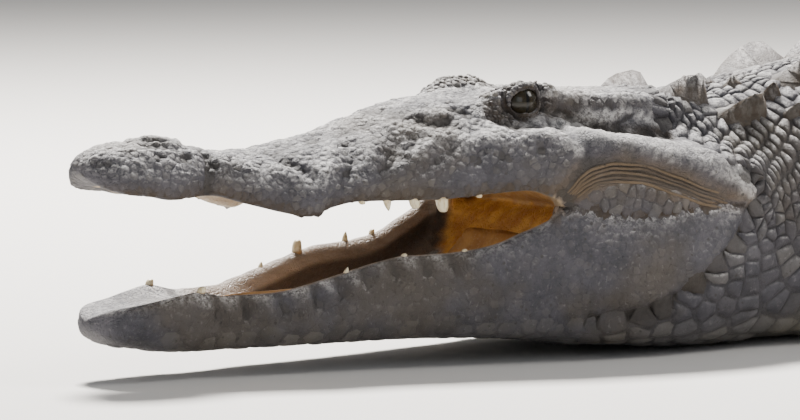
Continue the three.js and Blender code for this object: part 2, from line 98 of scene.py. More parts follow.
def makeLights():
    for name, (place, aim, size, watts, colour) in lighting.items():
        data = bpy.data.lights.new(name, "AREA")
        data.size = size
        data.energy = watts
        data.color = colour
        lamp = addObject(name, data)
        lamp.location = place
        lamp.rotation_euler = (Vector(aim) - Vector(place)).to_track_quat("-Z", "Y").to_euler()
    world = bpy.data.worlds.new("studio")
    world.use_nodes = True
    background = world.node_tree.nodes["Background"]
    background.inputs["Color"].default_value = studio["colour"]
    background.inputs["Strength"].default_value = studio["strength"]
    bpy.context.scene.world = world


def plainMaterial(name, colour, roughness):
    material = bpy.data.materials.new(name)
    material.use_nodes = True
    shader = material.node_tree.nodes["Principled BSDF"]
    shader.inputs["Base Color"].default_value = (*colour, 1)
    shader.inputs["Roughness"].default_value = roughness
    return material


def makeFloor():
    bm = bmesh.new()
    bmesh.ops.create_grid(bm, x_segments=1, y_segments=1, size=view["floorSize"] / 2)
    mesh = meshFrom(bm, "floor")
    floor = addObject("floor", mesh)
    mesh.materials.append(plainMaterial("paleFloor", studio["floor"], 0.8))


makeView()
makeLights()
makeFloor()
print("view, floor and light are set")


# curves shared by every part of the body
def curveThrough(points):
    # a smooth curve through [x, value] points that never overshoots them
    xs, ys = np.array(points, float).T
    slopes = np.diff(ys) / np.diff(xs)
    rising = slopes[:-1] * slopes[1:] > 0
    sums = np.where(rising, slopes[:-1] + slopes[1:], 1)
    inner = np.where(rising, 2 * slopes[:-1] * slopes[1:] / sums, 0)
    tangents = np.concatenate([slopes[:1], inner, slopes[-1:]])

    def at(x):
        x = np.clip(np.asarray(x, float), xs[0], xs[-1])
        i = np.clip(np.searchsorted(xs, x, side="right") - 1, 0, len(slopes) - 1)
        step = xs[i + 1] - xs[i]
        t = (x - xs[i]) / step
        start = (2 * t**3 - 3 * t**2 + 1) * ys[i] + (t**3 - 2 * t**2 + t) * step * tangents[i]
        return start + (3 * t**2 - 2 * t**3) * ys[i + 1] + (t**3 - t**2) * step * tangents[i + 1]

    return at


body = {
    "length": 3800,
    "origin": 1400,        # the station that stands over the frame's origin
    "mouthCorner": 391,
    "throatWall": 416,
    "throatDraw": 16,      # how far the mouth's lining draws in on its way to the throat's wall
    "tailEnd": 3780,
    "bendStart": 1850,
    "bend": 0.27,          # radians of heading in each half of the tail's S
}
# the outline, as [station, value]
outline = {
    "halfWidth": [[35, 37], [56, 39.5], [80, 36.5], [98, 30], [115, 34], [145, 48.5], [172, 58],
        [200, 59.5], [240, 63], [280, 71], [320, 81], [350, 89.5], [391, 100], [430, 112], [470, 120],
        [520, 125], [563, 124], [600, 121], [660, 126], [720, 134], [800, 147], [880, 167], [980, 200],
        [1120, 230], [1320, 247], [1520, 241], [1700, 213], [1820, 179], [1900, 153], [1980, 127],
        [2100, 103], [2400, 80], [2700, 61], [3000, 44], [3300, 29], [3600, 15], [3780, 6]],
    "top": [[35, 184.5], [56, 186], [80, 183.5], [98, 179], [122, 175], [148, 173.5], [170, 177.5],
        [200, 182], [225, 187], [257, 196.5], [280, 203.5], [300, 206.5], [330, 208.5], [430, 211],
        [470, 212.5], [520, 212], [560, 208], [600, 211], [660, 221], [720, 230], [800, 240], [880, 250],
        [980, 263], [1120, 278], [1320, 288], [1520, 286], [1700, 273], [1820, 257], [1900, 244],
        [1980, 230], [2100, 207], [2400, 168], [2700, 133], [3000, 100], [3300, 70], [3600, 42], [3780, 24]],
    "lip": [[35, 146], [56, 142], [80, 143.5], [98, 143], [125, 136], [150, 129], [172, 125], [190, 131],
        [216, 135], [280, 134], [330, 137.5], [357, 139], [380, 132], [391, 124], [420, 120], [450, 116],
        [480, 118], [505, 121], [560, 120], [640, 116], [1000, 112], [1300, 104], [1600, 102], [1800, 104],
        [1980, 106], [2100, 99], [2400, 82], [2700, 65], [3000, 49], [3300, 35], [3600, 21], [3780, 13]],
    "jawHalfWidth": [[33, 33], [60, 38], [82, 41.5], [100, 38], [120, 39], [172, 52], [230, 60.5],
        [300, 76], [350, 90], [391, 100]],
    "rim": [[33, 60], [50, 64], [70, 68], [82, 71], [100, 64.5], [130, 64], [150, 65], [172, 70],
        [200, 77], [234, 86], [255, 90], [285, 91], [310, 93], [335, 98.5], [350, 105], [366, 111],
        [380, 117.5], [391, 124]],
    "bottom": [[33, 26], [60, 21.5], [90, 20], [200, 21], [290, 20], [350, 17], [411, 11], [450, 8],
        [530, 2], [570, 0], [3300, 0], [3780, 2]],
    "palate": [[35, 149], [98, 144], [172, 137], [240, 139], [350, 142], [380, 138], [398, 129], [416, 121]],
    "mouthFloor": [[33, 57], [60, 60], [95, 59], [130, 54], [200, 54], [300, 60], [360, 68], [384, 86],
        [400, 110], [416, 120]],
    # how far the skin lies inside the outline, which leaves room for the scales
    "coat": [[35, 0.6], [500, 1.0], [600, 2.5], [1000, 4.0], [2200, 3.5], [3000, 2.5], [3780, 1.2]],
}
(halfWidth, topHeight, lipHeight, jawHalfWidth, rimHeight, bottomHeight, palateHeight, floorHeight,
 coatDepth) = [curveThrough(points) for points in outline.values()]

# sections: shares of half width, then of height, from the lip up to the middle of the back, by station
upperForms = {
    60: ([1, 1.05, 1.05, 0.98, 0.86, 0.68, 0.45, 0.22, 0], [0, 0.2, 0.38, 0.55, 0.72, 0.86, 0.95, 0.99, 1]),
    250: ([1, 1.05, 1.06, 1, 0.88, 0.7, 0.48, 0.24, 0], [0, 0.18, 0.34, 0.5, 0.66, 0.82, 0.94, 0.99, 1]),
    330: ([1, 1.05, 1.06, 1.02, 0.92, 0.73, 0.53, 0.28, 0], [0, 0.17, 0.32, 0.47, 0.6, 0.75, 0.95, 1.01, 1]),
    380: ([1, 1.05, 1.06, 1.01, 0.91, 0.66, 0.49, 0.25, 0], [0, 0.22, 0.42, 0.58, 0.69, 0.78, 1.13, 1.03, 1]),
    450: ([1, 1.02, 0.97, 0.99, 0.88, 0.53, 0.48, 0.26, 0], [0, 0.2, 0.4, 0.5, 0.65, 0.71, 0.95, 0.985, 1]),
    520: ([1, 1.01, 0.98, 1, 0.92, 0.55, 0.45, 0.25, 0], [0, 0.12, 0.24, 0.34, 0.47, 0.67, 0.92, 0.98, 1]),
    563: ([1, 1.0, 0.98, 0.96, 0.87, 0.64, 0.44, 0.22, 0], [0, 0.08, 0.17, 0.28, 0.42, 0.64, 0.86, 0.97, 1]),
    650: ([1, 0.985, 0.94, 0.86, 0.74, 0.58, 0.39, 0.2, 0],
          [0, 0.18, 0.36, 0.53, 0.69, 0.83, 0.93, 0.985, 1]),
    1300: ([1, 0.985, 0.95, 0.88, 0.77, 0.62, 0.44, 0.23, 0],
           [0, 0.17, 0.34, 0.51, 0.67, 0.81, 0.91, 0.975, 1]),
    2200: ([1, 0.97, 0.9, 0.79, 0.66, 0.51, 0.35, 0.18, 0],
           [0, 0.19, 0.38, 0.56, 0.71, 0.84, 0.93, 0.985, 1]),
}
# and from the jaw's rim, or the widest height, down to the middle of the belly
lowerForms = {
    60: ([1, 1.04, 1.04, 0.98, 0.84, 0.48, 0], [0, 0.25, 0.5, 0.72, 0.9, 0.98, 1]),
    200: ([1, 1.04, 1.05, 1.03, 0.93, 0.6, 0], [0, 0.25, 0.5, 0.74, 0.92, 0.99, 1]),
    450: ([1, 1.03, 1.03, 0.98, 0.88, 0.55, 0], [0, 0.25, 0.5, 0.74, 0.92, 0.99, 1]),
    600: ([1, 1, 0.97, 0.9, 0.76, 0.46, 0], [0, 0.25, 0.5, 0.74, 0.91, 1, 1]),
    1300: ([1, 0.995, 0.97, 0.91, 0.78, 0.46, 0], [0, 0.26, 0.51, 0.75, 0.92, 1, 1]),
    2200: ([1, 0.98, 0.91, 0.79, 0.6, 0.32, 0], [0, 0.26, 0.51, 0.74, 0.91, 1, 1]),
}


def formCurves(forms):
    count = len(next(iter(forms.values()))[0])
    return [[curveThrough([[h, form[axis][i]] for h, form in forms.items()]) for axis in (0, 1)]
            for i in range(count)]


upperForm = formCurves(upperForms)
lowerForm = formCurves(lowerForms)


def smoothHalf(points, shares):
    # a spline through the points of half a section, whose last point lies in the plane of symmetry
    points = np.array(points)
    mirrored = points[-2] * (-1, 1)
    padded = np.vstack([points[:1], points, mirrored])
    t = np.linspace(0, len(points) - 1, 12 * len(points))
    i = np.minimum(t.astype(int), len(points) - 2)
    f = (t - i)[:, None]
    a, b, c, d = (padded[i + k] for k in range(4))
    dense = b + 0.5 * f * (c - a + f * (2 * a - 5 * b + 4 * c - d + f * (3 * (b - c) + d - a)))
    length = np.concatenate([[0], np.cumsum(np.linalg.norm(np.diff(dense, axis=0), axis=1))])
    return np.stack([np.interp(shares * length[-1], length, dense[:, k]) for k in (0, 1)], 1)


def upperHalf(h, shares):
    w, low, high = halfWidth(h) - coatDepth(h), lipHeight(h), topHeight(h) - coatDepth(h)
    return smoothHalf([(y(h) * w, low + z(h) * (high - low)) for y, z in upperForm], shares)


def lowerHalf(h, shares):
    inMouth = h < body["mouthCorner"]
    w = (jawHalfWidth(h) if inMouth else halfWidth(h)) - coatDepth(h)
    high = rimHeight(h) if inMouth else lipHeight(h)
    low = bottomHeight(h) + coatDepth(h)
    half = smoothHalf([(y(h) * w, high + z(h) * (low - high)) for y, z in lowerForm], shares)
    half[:, 1] = np.maximum(half[:, 1], low)
    return half


def pocketEdge(h):
    # behind the corner of the mouth its lining leaves the lips and closes
    back = (h - body["mouthCorner"]) / (body["throatWall"] - body["mouthCorner"])
    return halfWidth(h) - coatDepth(h) - body["throatDraw"] * np.sqrt(max(back, 0))


def palateHalf(h, shares):
    w, lip, roof = pocketEdge(h), lipHeight(h), palateHeight(h)
    if h >= body["throatWall"]:
        return smoothHalf([(w, lip), (w * 0.5, lip), (0, lip)], shares)
    gumLine = [(w, lip), (w - 3, lip - 0.8), (w - 8, lip + 1.5), (w - 12, (lip + roof) / 2 + 1)]
    return smoothHalf([*gumLine, (w * 0.62, roof), (w * 0.3, roof + 1.5), (0, roof + 1)], shares)


def mouthFloorHalf(h, shares):
    inMouth = h < body["mouthCorner"]
    w = jawHalfWidth(h) - coatDepth(h) if inMouth else pocketEdge(h)
    rim, bed = (rimHeight(h) if inMouth else lipHeight(h)), floorHeight(h)
    if h >= body["throatWall"]:
        return palateHalf(h, shares)
    gumLine = [(w, rim), (w - 3, rim + 0.8), (w - 8, rim - 0.5), (w - 12.5, (rim + bed) / 2)]
    return smoothHalf([*gumLine, (w - 17, bed + 1), (w * 0.35, bed), (0, bed - 0.5)], shares)


# the spine is straight to the hips, then one flat S along the tail
spineStep = 5.0
spineH = np.arange(0, body["length"] + 105, spineStep)
spineAlong = np.clip((spineH - body["bendStart"]) / (body["length"] - body["bendStart"]), 0, None)
spineHeading = body["bend"] * np.sin(2 * math.pi * spineAlong) * np.minimum(1, 4 * spineAlong)
spineX = -body["origin"] + np.concatenate([[0], np.cumsum(spineStep * np.cos(spineHeading[:-1]))])
spineY = np.concatenate([[0], np.cumsum(spineStep * np.sin(spineHeading[:-1]))])


def place(h, y, z):
    # from station, distance to the animal's right and height, to the frame
    h = np.asarray(h, float)
    heading = np.interp(h, spineH, spineHeading)
    x = np.interp(h, spineH, spineX) + np.minimum(h, 0) - y * np.sin(heading)
    return np.stack(np.broadcast_arrays(x, np.interp(h, spineH, spineY) + y * np.cos(heading), z), -1)


# pieces
def meshPiece(name, mesh, material):
    piece = addObject(name, mesh)
    mesh.materials.clear()
    mesh.materials.append(material)
    mesh.polygons.foreach_set("use_smooth", np.full(len(mesh.polygons), True))
    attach(piece, "root")
    return piece


def vectorsOf(mesh, what):
    values = np.empty(len(mesh.vertices) * 3)
    mesh.vertices.foreach_get(what, values)
    return values.reshape(-1, 3)


def positionsOf(mesh):
    return vectorsOf(mesh, "co")


def setPositions(mesh, co):
    mesh.vertices.foreach_set("co", np.ascontiguousarray(co, dtype=np.float32).ravel())
    mesh.update()


def setAttribute(mesh, name, values):
    layer = mesh.attributes.get(name) or mesh.attributes.new(name, "FLOAT", "POINT")
    layer.data.foreach_set("value", np.asarray(values, dtype=np.float32))


def treeOf(spots):
    tree = KDTree(len(spots))
    for i, spot in enumerate(spots):
        tree.insert(spot, i)
    tree.balance()
    return tree


def addPatches(mesh, patch):
    # the map for baking, from one place on it for each vertex
    corners = np.empty(len(mesh.loops), dtype=np.int32)
    mesh.loops.foreach_get("vertex_index", corners)
    mesh.uv_layers.new(name="OFBake").data.foreach_set("uv", patch[corners].astype(np.float32).ravel())


def soften(bm, verts, rounds):
    for _ in range(rounds):
        bmesh.ops.smooth_vert(bm, verts=verts, factor=0.5, use_axis_x=True, use_axis_y=True, use_axis_z=True)


def smoothStep(low, high, x):
    t = np.clip((x - low) / (high - low), 0, 1)
    return t * t * (3 - 2 * t)


# skin
skinShape = {
    "tipRows": 13,
    "firstRow": 35,
    # the spacing of rows up to each station
    "pitches": [(337, 3.2), (body["mouthCorner"], 2.1), (body["throatWall"], 2.1), (575, 2.1), (900, 10),
                (body["tailEnd"], 30)],
    "upperColumns": 54,     # on each side
    "lowerColumns": 34,
    "mouthColumns": 13,
    "upperTip": (35, 43, 166),   # where the rounding of the snout starts, its length and its middle height
    "lowerTip": (33, 34, 48),
}


def stationsUpTo(last):
    rows, start = [], skinShape["firstRow"]
    for end, pitch in skinShape["pitches"]:
        rows.append(np.linspace(start, end, max(2, round((end - start) / pitch)) + 1)[:-1])
        start = end
    rows = np.concatenate([*rows, [start]])
    return rows[rows <= last]


def columnShares(count, crowd=None):
    # shares of the way from the edge to the middle; a crowd draws columns to one place
    t = np.linspace(0, 1, 400)
    weight = np.ones_like(t)
    if crowd:
        middle, spread, amount = crowd
        weight += amount * np.exp(-(((t - middle) / spread) ** 2))
    total = np.concatenate([[0], np.cumsum((weight[1:] + weight[:-1]) / 2)])
    return np.interp(np.linspace(0, total[-1], count + 1), total, t)


def rowsOf(half, tip, stations, shares):
    # rows of points in (h, y, z) from the left edge over the middle to the right edge
    start, overhang, middle = tip
    rows = []
    for angle in np.linspace(90, 0, skinShape["tipRows"], endpoint=False):
        size = max(math.cos(math.radians(angle)), 0)
        points = half(start, shares) * (size, 1)
        points[:, 1] = middle + (points[:, 1] - middle) * size
        rows.append((start - overhang * math.sin(math.radians(angle)), points))
    rows += [(h, half(h, shares)) for h in np.concatenate([[start], stations[stations > start + 1]])]
    made = []
    for h, points in rows:
        left = points * (-1, 1)
        whole = np.vstack([left, points[-2::-1]])
        made.append(np.column_stack([np.full(len(whole), h), whole]))
    return np.array(made)


def addGrid(bm, rows, region, layer):
    count, width = rows.shape[:2]
    made = bmesh.ops.create_grid(bm, x_segments=width - 1, y_segments=count - 1, size=1)["verts"]
    spots = place(rows[..., 0], rows[..., 1], rows[..., 2]).reshape(-1, 3)
    for vert, spot in zip(made, spots):
        vert.co = spot
        vert[layer] = region


regions = {"upper": 1, "lower": 2, "palate": 3, "mouthFloor": 4}
# the eyeball's middle and radius, and half the opening between the lids
eyeSpot = {"station": 380, "out": 43.5, "height": 206, "radius": 16, "openWide": 13.9, "openHigh": 9.8}
eyeLids = {
    "tilt": 6,              # degrees
    "lift": 0.4,
    "behind": 5,            # how far inside the ball's front the skin passes
    "over": 2.0,            # how far the lids stand off it
    "rolls": [(2.0, 1.14, 0.13), (-1.8, 1.44, 0.14)],      # rise, share of the opening and spread
    "reach": 34,
}


def makeSkinBase():
    bm = bmesh.new()
    layer = bm.verts.layers.int.new("region")
    everywhere, mouth = stationsUpTo(body["tailEnd"]), stationsUpTo(body["throatWall"])
    upper = columnShares(skinShape["upperColumns"], (0.66, 0.16, 0.9))
    lower = columnShares(skinShape["lowerColumns"])
    inside = columnShares(skinShape["mouthColumns"], (0.0, 0.2, 1.5))
    grids = [
        ("upper", rowsOf(upperHalf, skinShape["upperTip"], everywhere, upper)),
        ("lower", rowsOf(lowerHalf, skinShape["lowerTip"], everywhere, lower)),
        ("palate", rowsOf(palateHalf, skinShape["upperTip"], mouth, inside)),
        ("mouthFloor", rowsOf(mouthFloorHalf, skinShape["lowerTip"], mouth, inside)),
    ]
    for name, rows in grids:
        addGrid(bm, rows, regions[name], layer)
    bmesh.ops.remove_doubles(bm, verts=bm.verts, dist=0.02)
    bmesh.ops.holes_fill(bm, edges=[e for e in bm.edges if e.is_boundary], sides=0)
    bmesh.ops.recalc_face_normals(bm, faces=bm.faces)
    openEdges = sum(1 for e in bm.edges if not e.is_manifold)
    print("skin base:", len(bm.verts), "points,", openEdges, "open edges")
    return bm


# sculpting
# Each fold is a line of [station, height] on the side of the head, or [station, distance out] on its top.
rictusLine = [[384, 125], [389, 136], [398, 148], [412, 156], [430, 159], [449, 158], [486, 147],
              [505, 138.5], [530, 129], [552, 121]]
jawTopLine = [[383, 124.5], [399, 124], [417, 121], [435, 117.5], [464, 116], [492, 121], [520, 122],
              [550, 120]]
earLine = [[396, 200], [424, 193], [449, 184.5], [490, 179], [507, 177.5]]
neckFoldLine = [[412, 31], [428, 33.6], [456, 36], [475, 43], [494, 53], [508, 62], [523, 76], [538, 89],
                [549, 103], [560, 114], [569, 126], [568, 137], [556, 147]]
sideFolds = {
    # name: (line, half width, rise)
    "jugalUnderEye": ([[328, 178], [337, 182], [351, 186], [370, 182], [386, 176], [395, 170]], 8, 2.6),
    "jugalBar": ([[409, 179], [424, 173], [449, 165], [486, 155], [524, 143], [550, 134]], 10, 3.4),
    "jugalTop": ([[377, 196], [393, 195.5], [409, 192], [424, 187], [459, 180], [512, 167], [530, 157]],
                 4.5, 1.8),
    "jugalGap": ([[401, 190], [403, 178], [399, 166]], 5.5, -2.6),
    "underEar": ([[400, 196], [424, 189.5], [449, 181.5], [490, 174.5], [512, 170]], 4, -1.6),
    "earSlit": (earLine, 3.2, -5),
    "earFlap": ([[446, 193], [462, 194.5], [480, 193], [498, 189]], 9, 4.6),
    "earNotch": ([[470, 200], [468, 188]], 2.6, -2.2),
    "earFront": ([[408, 203], [430, 199], [446, 195]], 7, 1.6),
    "tableSide": ([[436, 205], [470, 204], [503, 202], [511, 192]], 6, -2.2),
    "rictusHollow": (rictusLine, 10, -3.6),
    "jawAngle": ([[430, 84], [480, 88], [520, 100]], 34, 3.2),
    "jawTop": (jawTopLine, 2.2, -2.4),
    "jawKnob": ([[548, 128], [560, 130]], 13, 3.5),
    "neckFold": (neckFoldLine, 6, -6.5),
    "neckFoldLip": ([[440, 46], [470, 57], [495, 72], [520, 90], [540, 108]], 9, 2.2),
    "lacrimal": ([[343, 196], [352, 190], [362, 188], [374, 191]], 5, -3.4),
    "preorbital": ([[318, 206], [327, 199], [329, 191]], 5, -2.4),
    "snoutGroove": ([[253, 203], [272, 197], [292, 192], [308, 190]], 5, -3.2),
    "snoutRidge": ([[250, 194], [272, 188], [300, 184], [325, 189], [341, 200]], 6, 2),
    "lobeRear": ([[286, 161], [296, 168], [312, 175], [326, 178]], 6, 2),
    "lobeMiddle": ([[250, 156], [262, 163], [276, 172], [286, 180]], 7, 2.4),
    "lobeMiddleGap": ([[272, 158], [286, 166], [298, 174]], 4.5, -2.2),
    "lobeFront": ([[214, 152], [226, 166], [238, 178]], 7, 2.2),
    "lobeFrontGap": ([[234, 158], [246, 170], [256, 181]], 4.5, -2),
    "lobeSnout": ([[182, 146], [190, 160], [200, 172]], 7, 2.4),
    "lobeSnoutGap": ([[199, 148], [208, 162], [216, 174]], 4.5, -2.4),
    "maxillaPit": ([[160, 168], [167, 162], [173, 155]], 4.5, -3.4),
    "canineBulge": ([[170, 130], [173, 140], [178, 150]], 13, 4.2),
    "notch": ([[101, 177], [100, 170], [96, 163], [94, 154], [93, 147]], 5, -4),
    "notchLip": ([[112, 174], [110, 164], [107, 150]], 6, 2),
    "tipFold": ([[33, 175], [39, 168], [46, 161]], 3.4, -2),
    "tipSlit": ([[52, 176], [63, 173.5], [76, 172]], 3.2, -2),
    "tipBulge": ([[12, 158], [22, 152], [34, 151]], 11, 1.6),
    "secondBulge": ([[60, 150], [72, 148]], 10, 1.6),
    "chinBulge": ([[18, 56], [30, 50]], 13, 1.6),
    "jawCanine": ([[80, 64], [80, 54]], 10, 2.6),
    "jawUnder": ([[60, 30], [125, 28.5], [250, 29], [340, 30.5], [410, 30.5]], 3, -1.6),
    "jawGroove": ([[95, 44], [160, 46], [230, 55], [300, 62]], 8, -1),
}
rimForms = {
    # stations of tooth sockets over the lip; station, half width and rise of bulges under the jaw's rim; gaps
    "sockets": (133, 205, 219, 242, 265, 287, 310),
    "bulges": [(58, 11, 3.6), (82, 8, 2.8), (105, 9, 4.2), (134, 10, 4.4), (163, 9, 4.2), (187, 7, 3.4),
               (207, 7, 4.0), (232, 6, 2.2), (256, 8, 3.8), (281, 6, 2.0), (306, 8, 3.4)],
    "gaps": (94, 120, 149, 176, 197, 219, 244, 269, 293),
}
for station in rimForms["sockets"]:
    sideFolds[f"upperSocket{station}"] = ([[station, 137], [station, 147]], 6.5, 1.7)
for station, wide, rise in rimForms["bulges"]:
    rim = float(rimHeight(station))
    sideFolds[f"lowerBulge{station}"] = ([[station, rim - 1], [station + 3, rim - 14]], wide, rise)
for station in rimForms["gaps"]:
    rim = float(rimHeight(station))
    sideFolds[f"bulgeGap{station}"] = ([[station, rim + 2], [station + 3, rim - 15]], 4.5, -2.8)
cornerLine = [[318, 127.5], [350, 128], [376, 128], [386, 138], [398, 151]]

# where dust and a painted highlight lie along ridges, and where painted shade darkens creases: line, half
# width and strength
paleMarks = {
    "jugalCrest": ([[328, 180], [337, 184], [351, 188], [370, 186], [386, 179], [397, 170]], 5, 0.75),
    "jugalBar": ([[372, 195], [393, 194], [409, 190], [435, 182], [470, 173], [512, 160], [540, 147],
                  [556, 138]], 9, 0.85),
    "earFlap": ([[432, 192], [446, 193], [462, 194.5], [480, 193], [500, 189]], 6, 0.9),
    "tableTop": ([[396, 214], [430, 209], [470, 209], [505, 207]], 3.5, 0.6),
    "jawKnob": ([[548, 132], [560, 130], [566, 124]], 8, 0.55),
}
# painted shade along creases: the skull table's side, the ear slit and notch, under the ear, the groove in
# front of the eye, the jaw's crease and the neck fold
creaseShadeMarks = {
    "tableSide": ([[400, 206], [436, 204], [470, 204], [500, 202], [512, 190]], 4.5, 1.3),
    "earSlit": (earLine, 4.5, 1.4),
    "earNotch": ([[470, 200], [468, 188]], 2, 0.8),
    "underEar": ([[396, 200], [424, 191]], 5, 0.9),
    "lacrimal": ([[343, 196], [352, 190], [362, 188], [376, 191]], 5, 0.8),
    "jawTop": (jawTopLine, 1.7, 1.3),
    "neckFold": (neckFoldLine, 3.5, 1.2),
}
topFolds = {
    "nostrilPad": ([[56, 0], [70, 0]], 21, 3.6),
    "padEdge": ([[37, 0], [41, 13], [51, 22], [64, 24.5], [77, 21], [86, 11], [89, 0]], 4, -2.2),
    "nostril": ([[49, 6], [54, 11], [62, 13.5], [70, 11]], 3.2, -5.5),
    "browRidge": ([[352, 46], [372, 50], [404, 50]], 7, 2.6),
    "betweenEyes": ([[352, 0], [404, 0]], 15, -2.4),
    "tableEdge": ([[430, 47], [455, 51], [508, 53]], 4.5, 1.8),
    "tablePit": ([[448, 20], [462, 22]], 8, -1.8),
    "tableBack": ([[524, 0], [522, 30], [516, 52]], 8, -2.6),
    "snoutMiddle": ([[130, 0], [200, 0], [270, 0], [330, 0]], 7, 1.6),
    "snoutTrough": ([[150, 17], [210, 20], [270, 26], [330, 30]], 6, -1.6),
    "snoutKnob": ([[300, 16], [316, 12]], 10, 1.4),
}


def lineDistance(spots, line):
    line = np.array(line, float)
    nearest = np.full(len(spots), 1e9)
    for a, b in zip(line, line[1:]):
        along = np.clip(((spots - a) @ (b - a)) / max((b - a) @ (b - a), 1e-9), 0, 1)
        nearest = np.minimum(nearest, np.linalg.norm(spots - a - along[:, None] * (b - a), axis=1))
    return nearest


def lineAt(line, station):
    return np.interp(station, *np.array(line).T)


def besideOf(line):
    # the directions towards the lower side of a line
    step = np.gradient(line, axis=0)
    return np.stack([step[:, 1], -step[:, 0]], 1) / np.linalg.norm(step, axis=1)[:, None]


def offsetLine(line, distance, taper):
    # the line moved to its lower side, less at its ends
    line = np.array(line, float)
    side = besideOf(line)
    share = np.linspace(0, 1, len(line))
    grow = 1 - taper * (2 * np.abs(share - 0.5)) ** 2
    return line + side * (distance * grow)[:, None]


def foldField(spots, folds):
    total = np.zeros(len(spots))
    for line, width, rise in folds.values():
        near = np.clip(1 - (lineDistance(spots, line) / (1.5 * width)) ** 2, 0, 1)
        total += rise * near * near
    return total


def fineAreas(station, out, height):
    # where the head's mesh is made twice as fine
    side = np.stack([station, height], 1)
    eye = np.hypot(station - eyeSpot["station"], height - eyeSpot["height"]) < 27
    lateral = np.abs(out) > 0.42 * halfWidth(station)
    rictus = lineDistance(side, offsetLine(rictusLine, 8, 0.4)) < 11
    creases = np.minimum(lineDistance(side, jawTopLine), lineDistance(side, earLine)) < 5
    head = (station > 340) & (station < 575) & lateral
    return head & (eye | rictus | creases)


def noiseAt(spots, form, octaves):
    # smooth noise of about -1 to 1, from its stretch, its waves for each millimetre and its seed
    stretch, scale, seed = form
    shift = Vector((seed, seed * 0.7, -seed))
    stretched = spots * stretch
    return np.array([noise.fractal(Vector(spot) * scale + shift, 0.8, 2.1, octaves) for spot in stretched])


def sculptEye(station, out, height, inUpper, facing):
    # the skin passes behind the ball inside the lids, rests on it as a lid, and runs back into the head
    e = eyeSpot
    dh, dz = station - e["station"], height - e["height"]
    tilt = math.radians(eyeLids["tilt"])
    u = (dh * math.cos(tilt) + dz * math.sin(tilt)) / e["openWide"]
    v = (dz * math.cos(tilt) - dh * math.sin(tilt) - eyeLids["lift"]) / e["openHigh"]
    corner = np.where(u < 0, 0.93, 1.0)           # the front corner is drawn out a little
    r = np.hypot(u * corner, v * (1 + 0.25 * np.clip(-u - 0.3, 0, 1)))
    flat = np.hypot(dh, dz)
    ball = e["out"] + np.sqrt(np.maximum(e["radius"] ** 2 - flat**2, 0))
    sign = np.sign(out)
    wall = np.abs(out)
    behind = ball - eyeLids["behind"]
    lid = np.maximum(ball + eyeLids["over"], wall * 0.35 + (ball + 1) * 0.65)
    opening = smoothStep(0.93, 1.02, r)
    rim = behind + (lid - behind) * opening
    away = smoothStep(1.15, 1.75, r)
    rolled = sum(rise * np.exp(-(((r - at) / spread) ** 2)) for rise, at, spread in eyeLids["rolls"])
    shaped = rim * (1 - away) + wall * away + rolled * (r > 1)
    near = inUpper & (r < 2.2) & (wall > 36) & (flat < eyeLids["reach"])
    sideways = smoothStep(0.12, 0.5, facing * sign)        # the top of the brow stays where it is
    return np.where(near, sign * (wall + (shaped - wall) * sideways), out)


def relaxed(mesh, indices, rounds):
    bm = bmesh.new()
    bm.from_mesh(mesh)
    bm.verts.ensure_lookup_table()
    soften(bm, [bm.verts[i] for i in indices], rounds)
    bm.to_mesh(mesh)
    bm.free()
    return positionsOf(mesh)


headRelief = {
    "end": 640,
    # stretch, waves for each millimetre and seed of the noise
    "pits": ((1, 1, 1.3), 0.075, 3.1), "pitDepth": 1.7, "pitTop": 0.35,
    "knots": ((0.8, 1.3, 1.3), 0.19, 9.7),
    "least": 0.16, "rugged": 0.95,                # strength on smooth skin, and what the rugged top adds
    "streaks": ((0.28, 1, 1.9), 0.13, 5.5), "streakRise": 1.5,
    "rimRounds": 6, "chinRounds": 14,             # smoothing of the jaw's edges
}


def roughBone(co, station, height, head, lateral, middleShare, isUpper):
    # rugged bone shows through the skin of the upper jaw, most on its top
    given = headRelief
    rough = np.zeros(len(co))
    rough[head] = given["pitDepth"] * np.minimum(noiseAt(co[head], given["pits"], 2), given["pitTop"])
    rough[head] += noiseAt(co[head], given["knots"], 2)
    rugged = isUpper * smoothStep(6, 30, height - lipHeight(station)) * (1 - smoothStep(500, 600, station))
    rugged *= 1 - 0.75 * smoothStep(378, 420, station) * smoothStep(0.55, 0.8, middleShare)
    rough *= given["least"] + given["rugged"] * rugged
    # streaks run down and back over the cheek bone
    area = smoothStep(392, 415, station) * (1 - smoothStep(555, 580, station)) * lateral * (station < 590)
    area *= np.where(isUpper, smoothStep(0, 5, height - lineAt(rictusLine, station)), 0)
    streaky = area > 0.02
    turned = np.stack([station * 0.9 - height * 0.43, co[:, 1], station * 0.43 + height * 0.9], 1)
    streaks = np.zeros(len(co))
    streaks[streaky] = noiseAt(turned[streaky], given["streaks"], 3)
    return rough + given["streakRise"] * streaks * area


def brownSkinAndCreaseShade(station, out, height, isUpper, outer, lateral):
    # brown skin along the lips and round the eyes, and painted shade along the marked creases
    flank = np.stack([station, height], 1)
    lipGap, rimGap = height - lipHeight(station), rimHeight(station) - height
    lip = np.where(isUpper, np.exp(-((lipGap / 7) ** 2)), 0.45 * np.exp(-((rimGap / 4) ** 2)))
    lip = lip * (station < 395) * outer
    eyeAway = np.hypot((station - eyeSpot["station"]) / 19, (height - eyeSpot["height"]) / 15)
    frontOfEye = np.hypot((station - 352) / 14, (height - 200) / 9)
    lids = np.maximum(1 - smoothStep(0.85, 1.15, eyeAway), 1 - smoothStep(0.6, 1.1, frontOfEye))
    lip = np.maximum(lip, lids * isUpper * (np.abs(out) > 36))
    return np.maximum(lip, np.clip(foldField(flank, creaseShadeMarks), 0, 1) * lateral * outer)


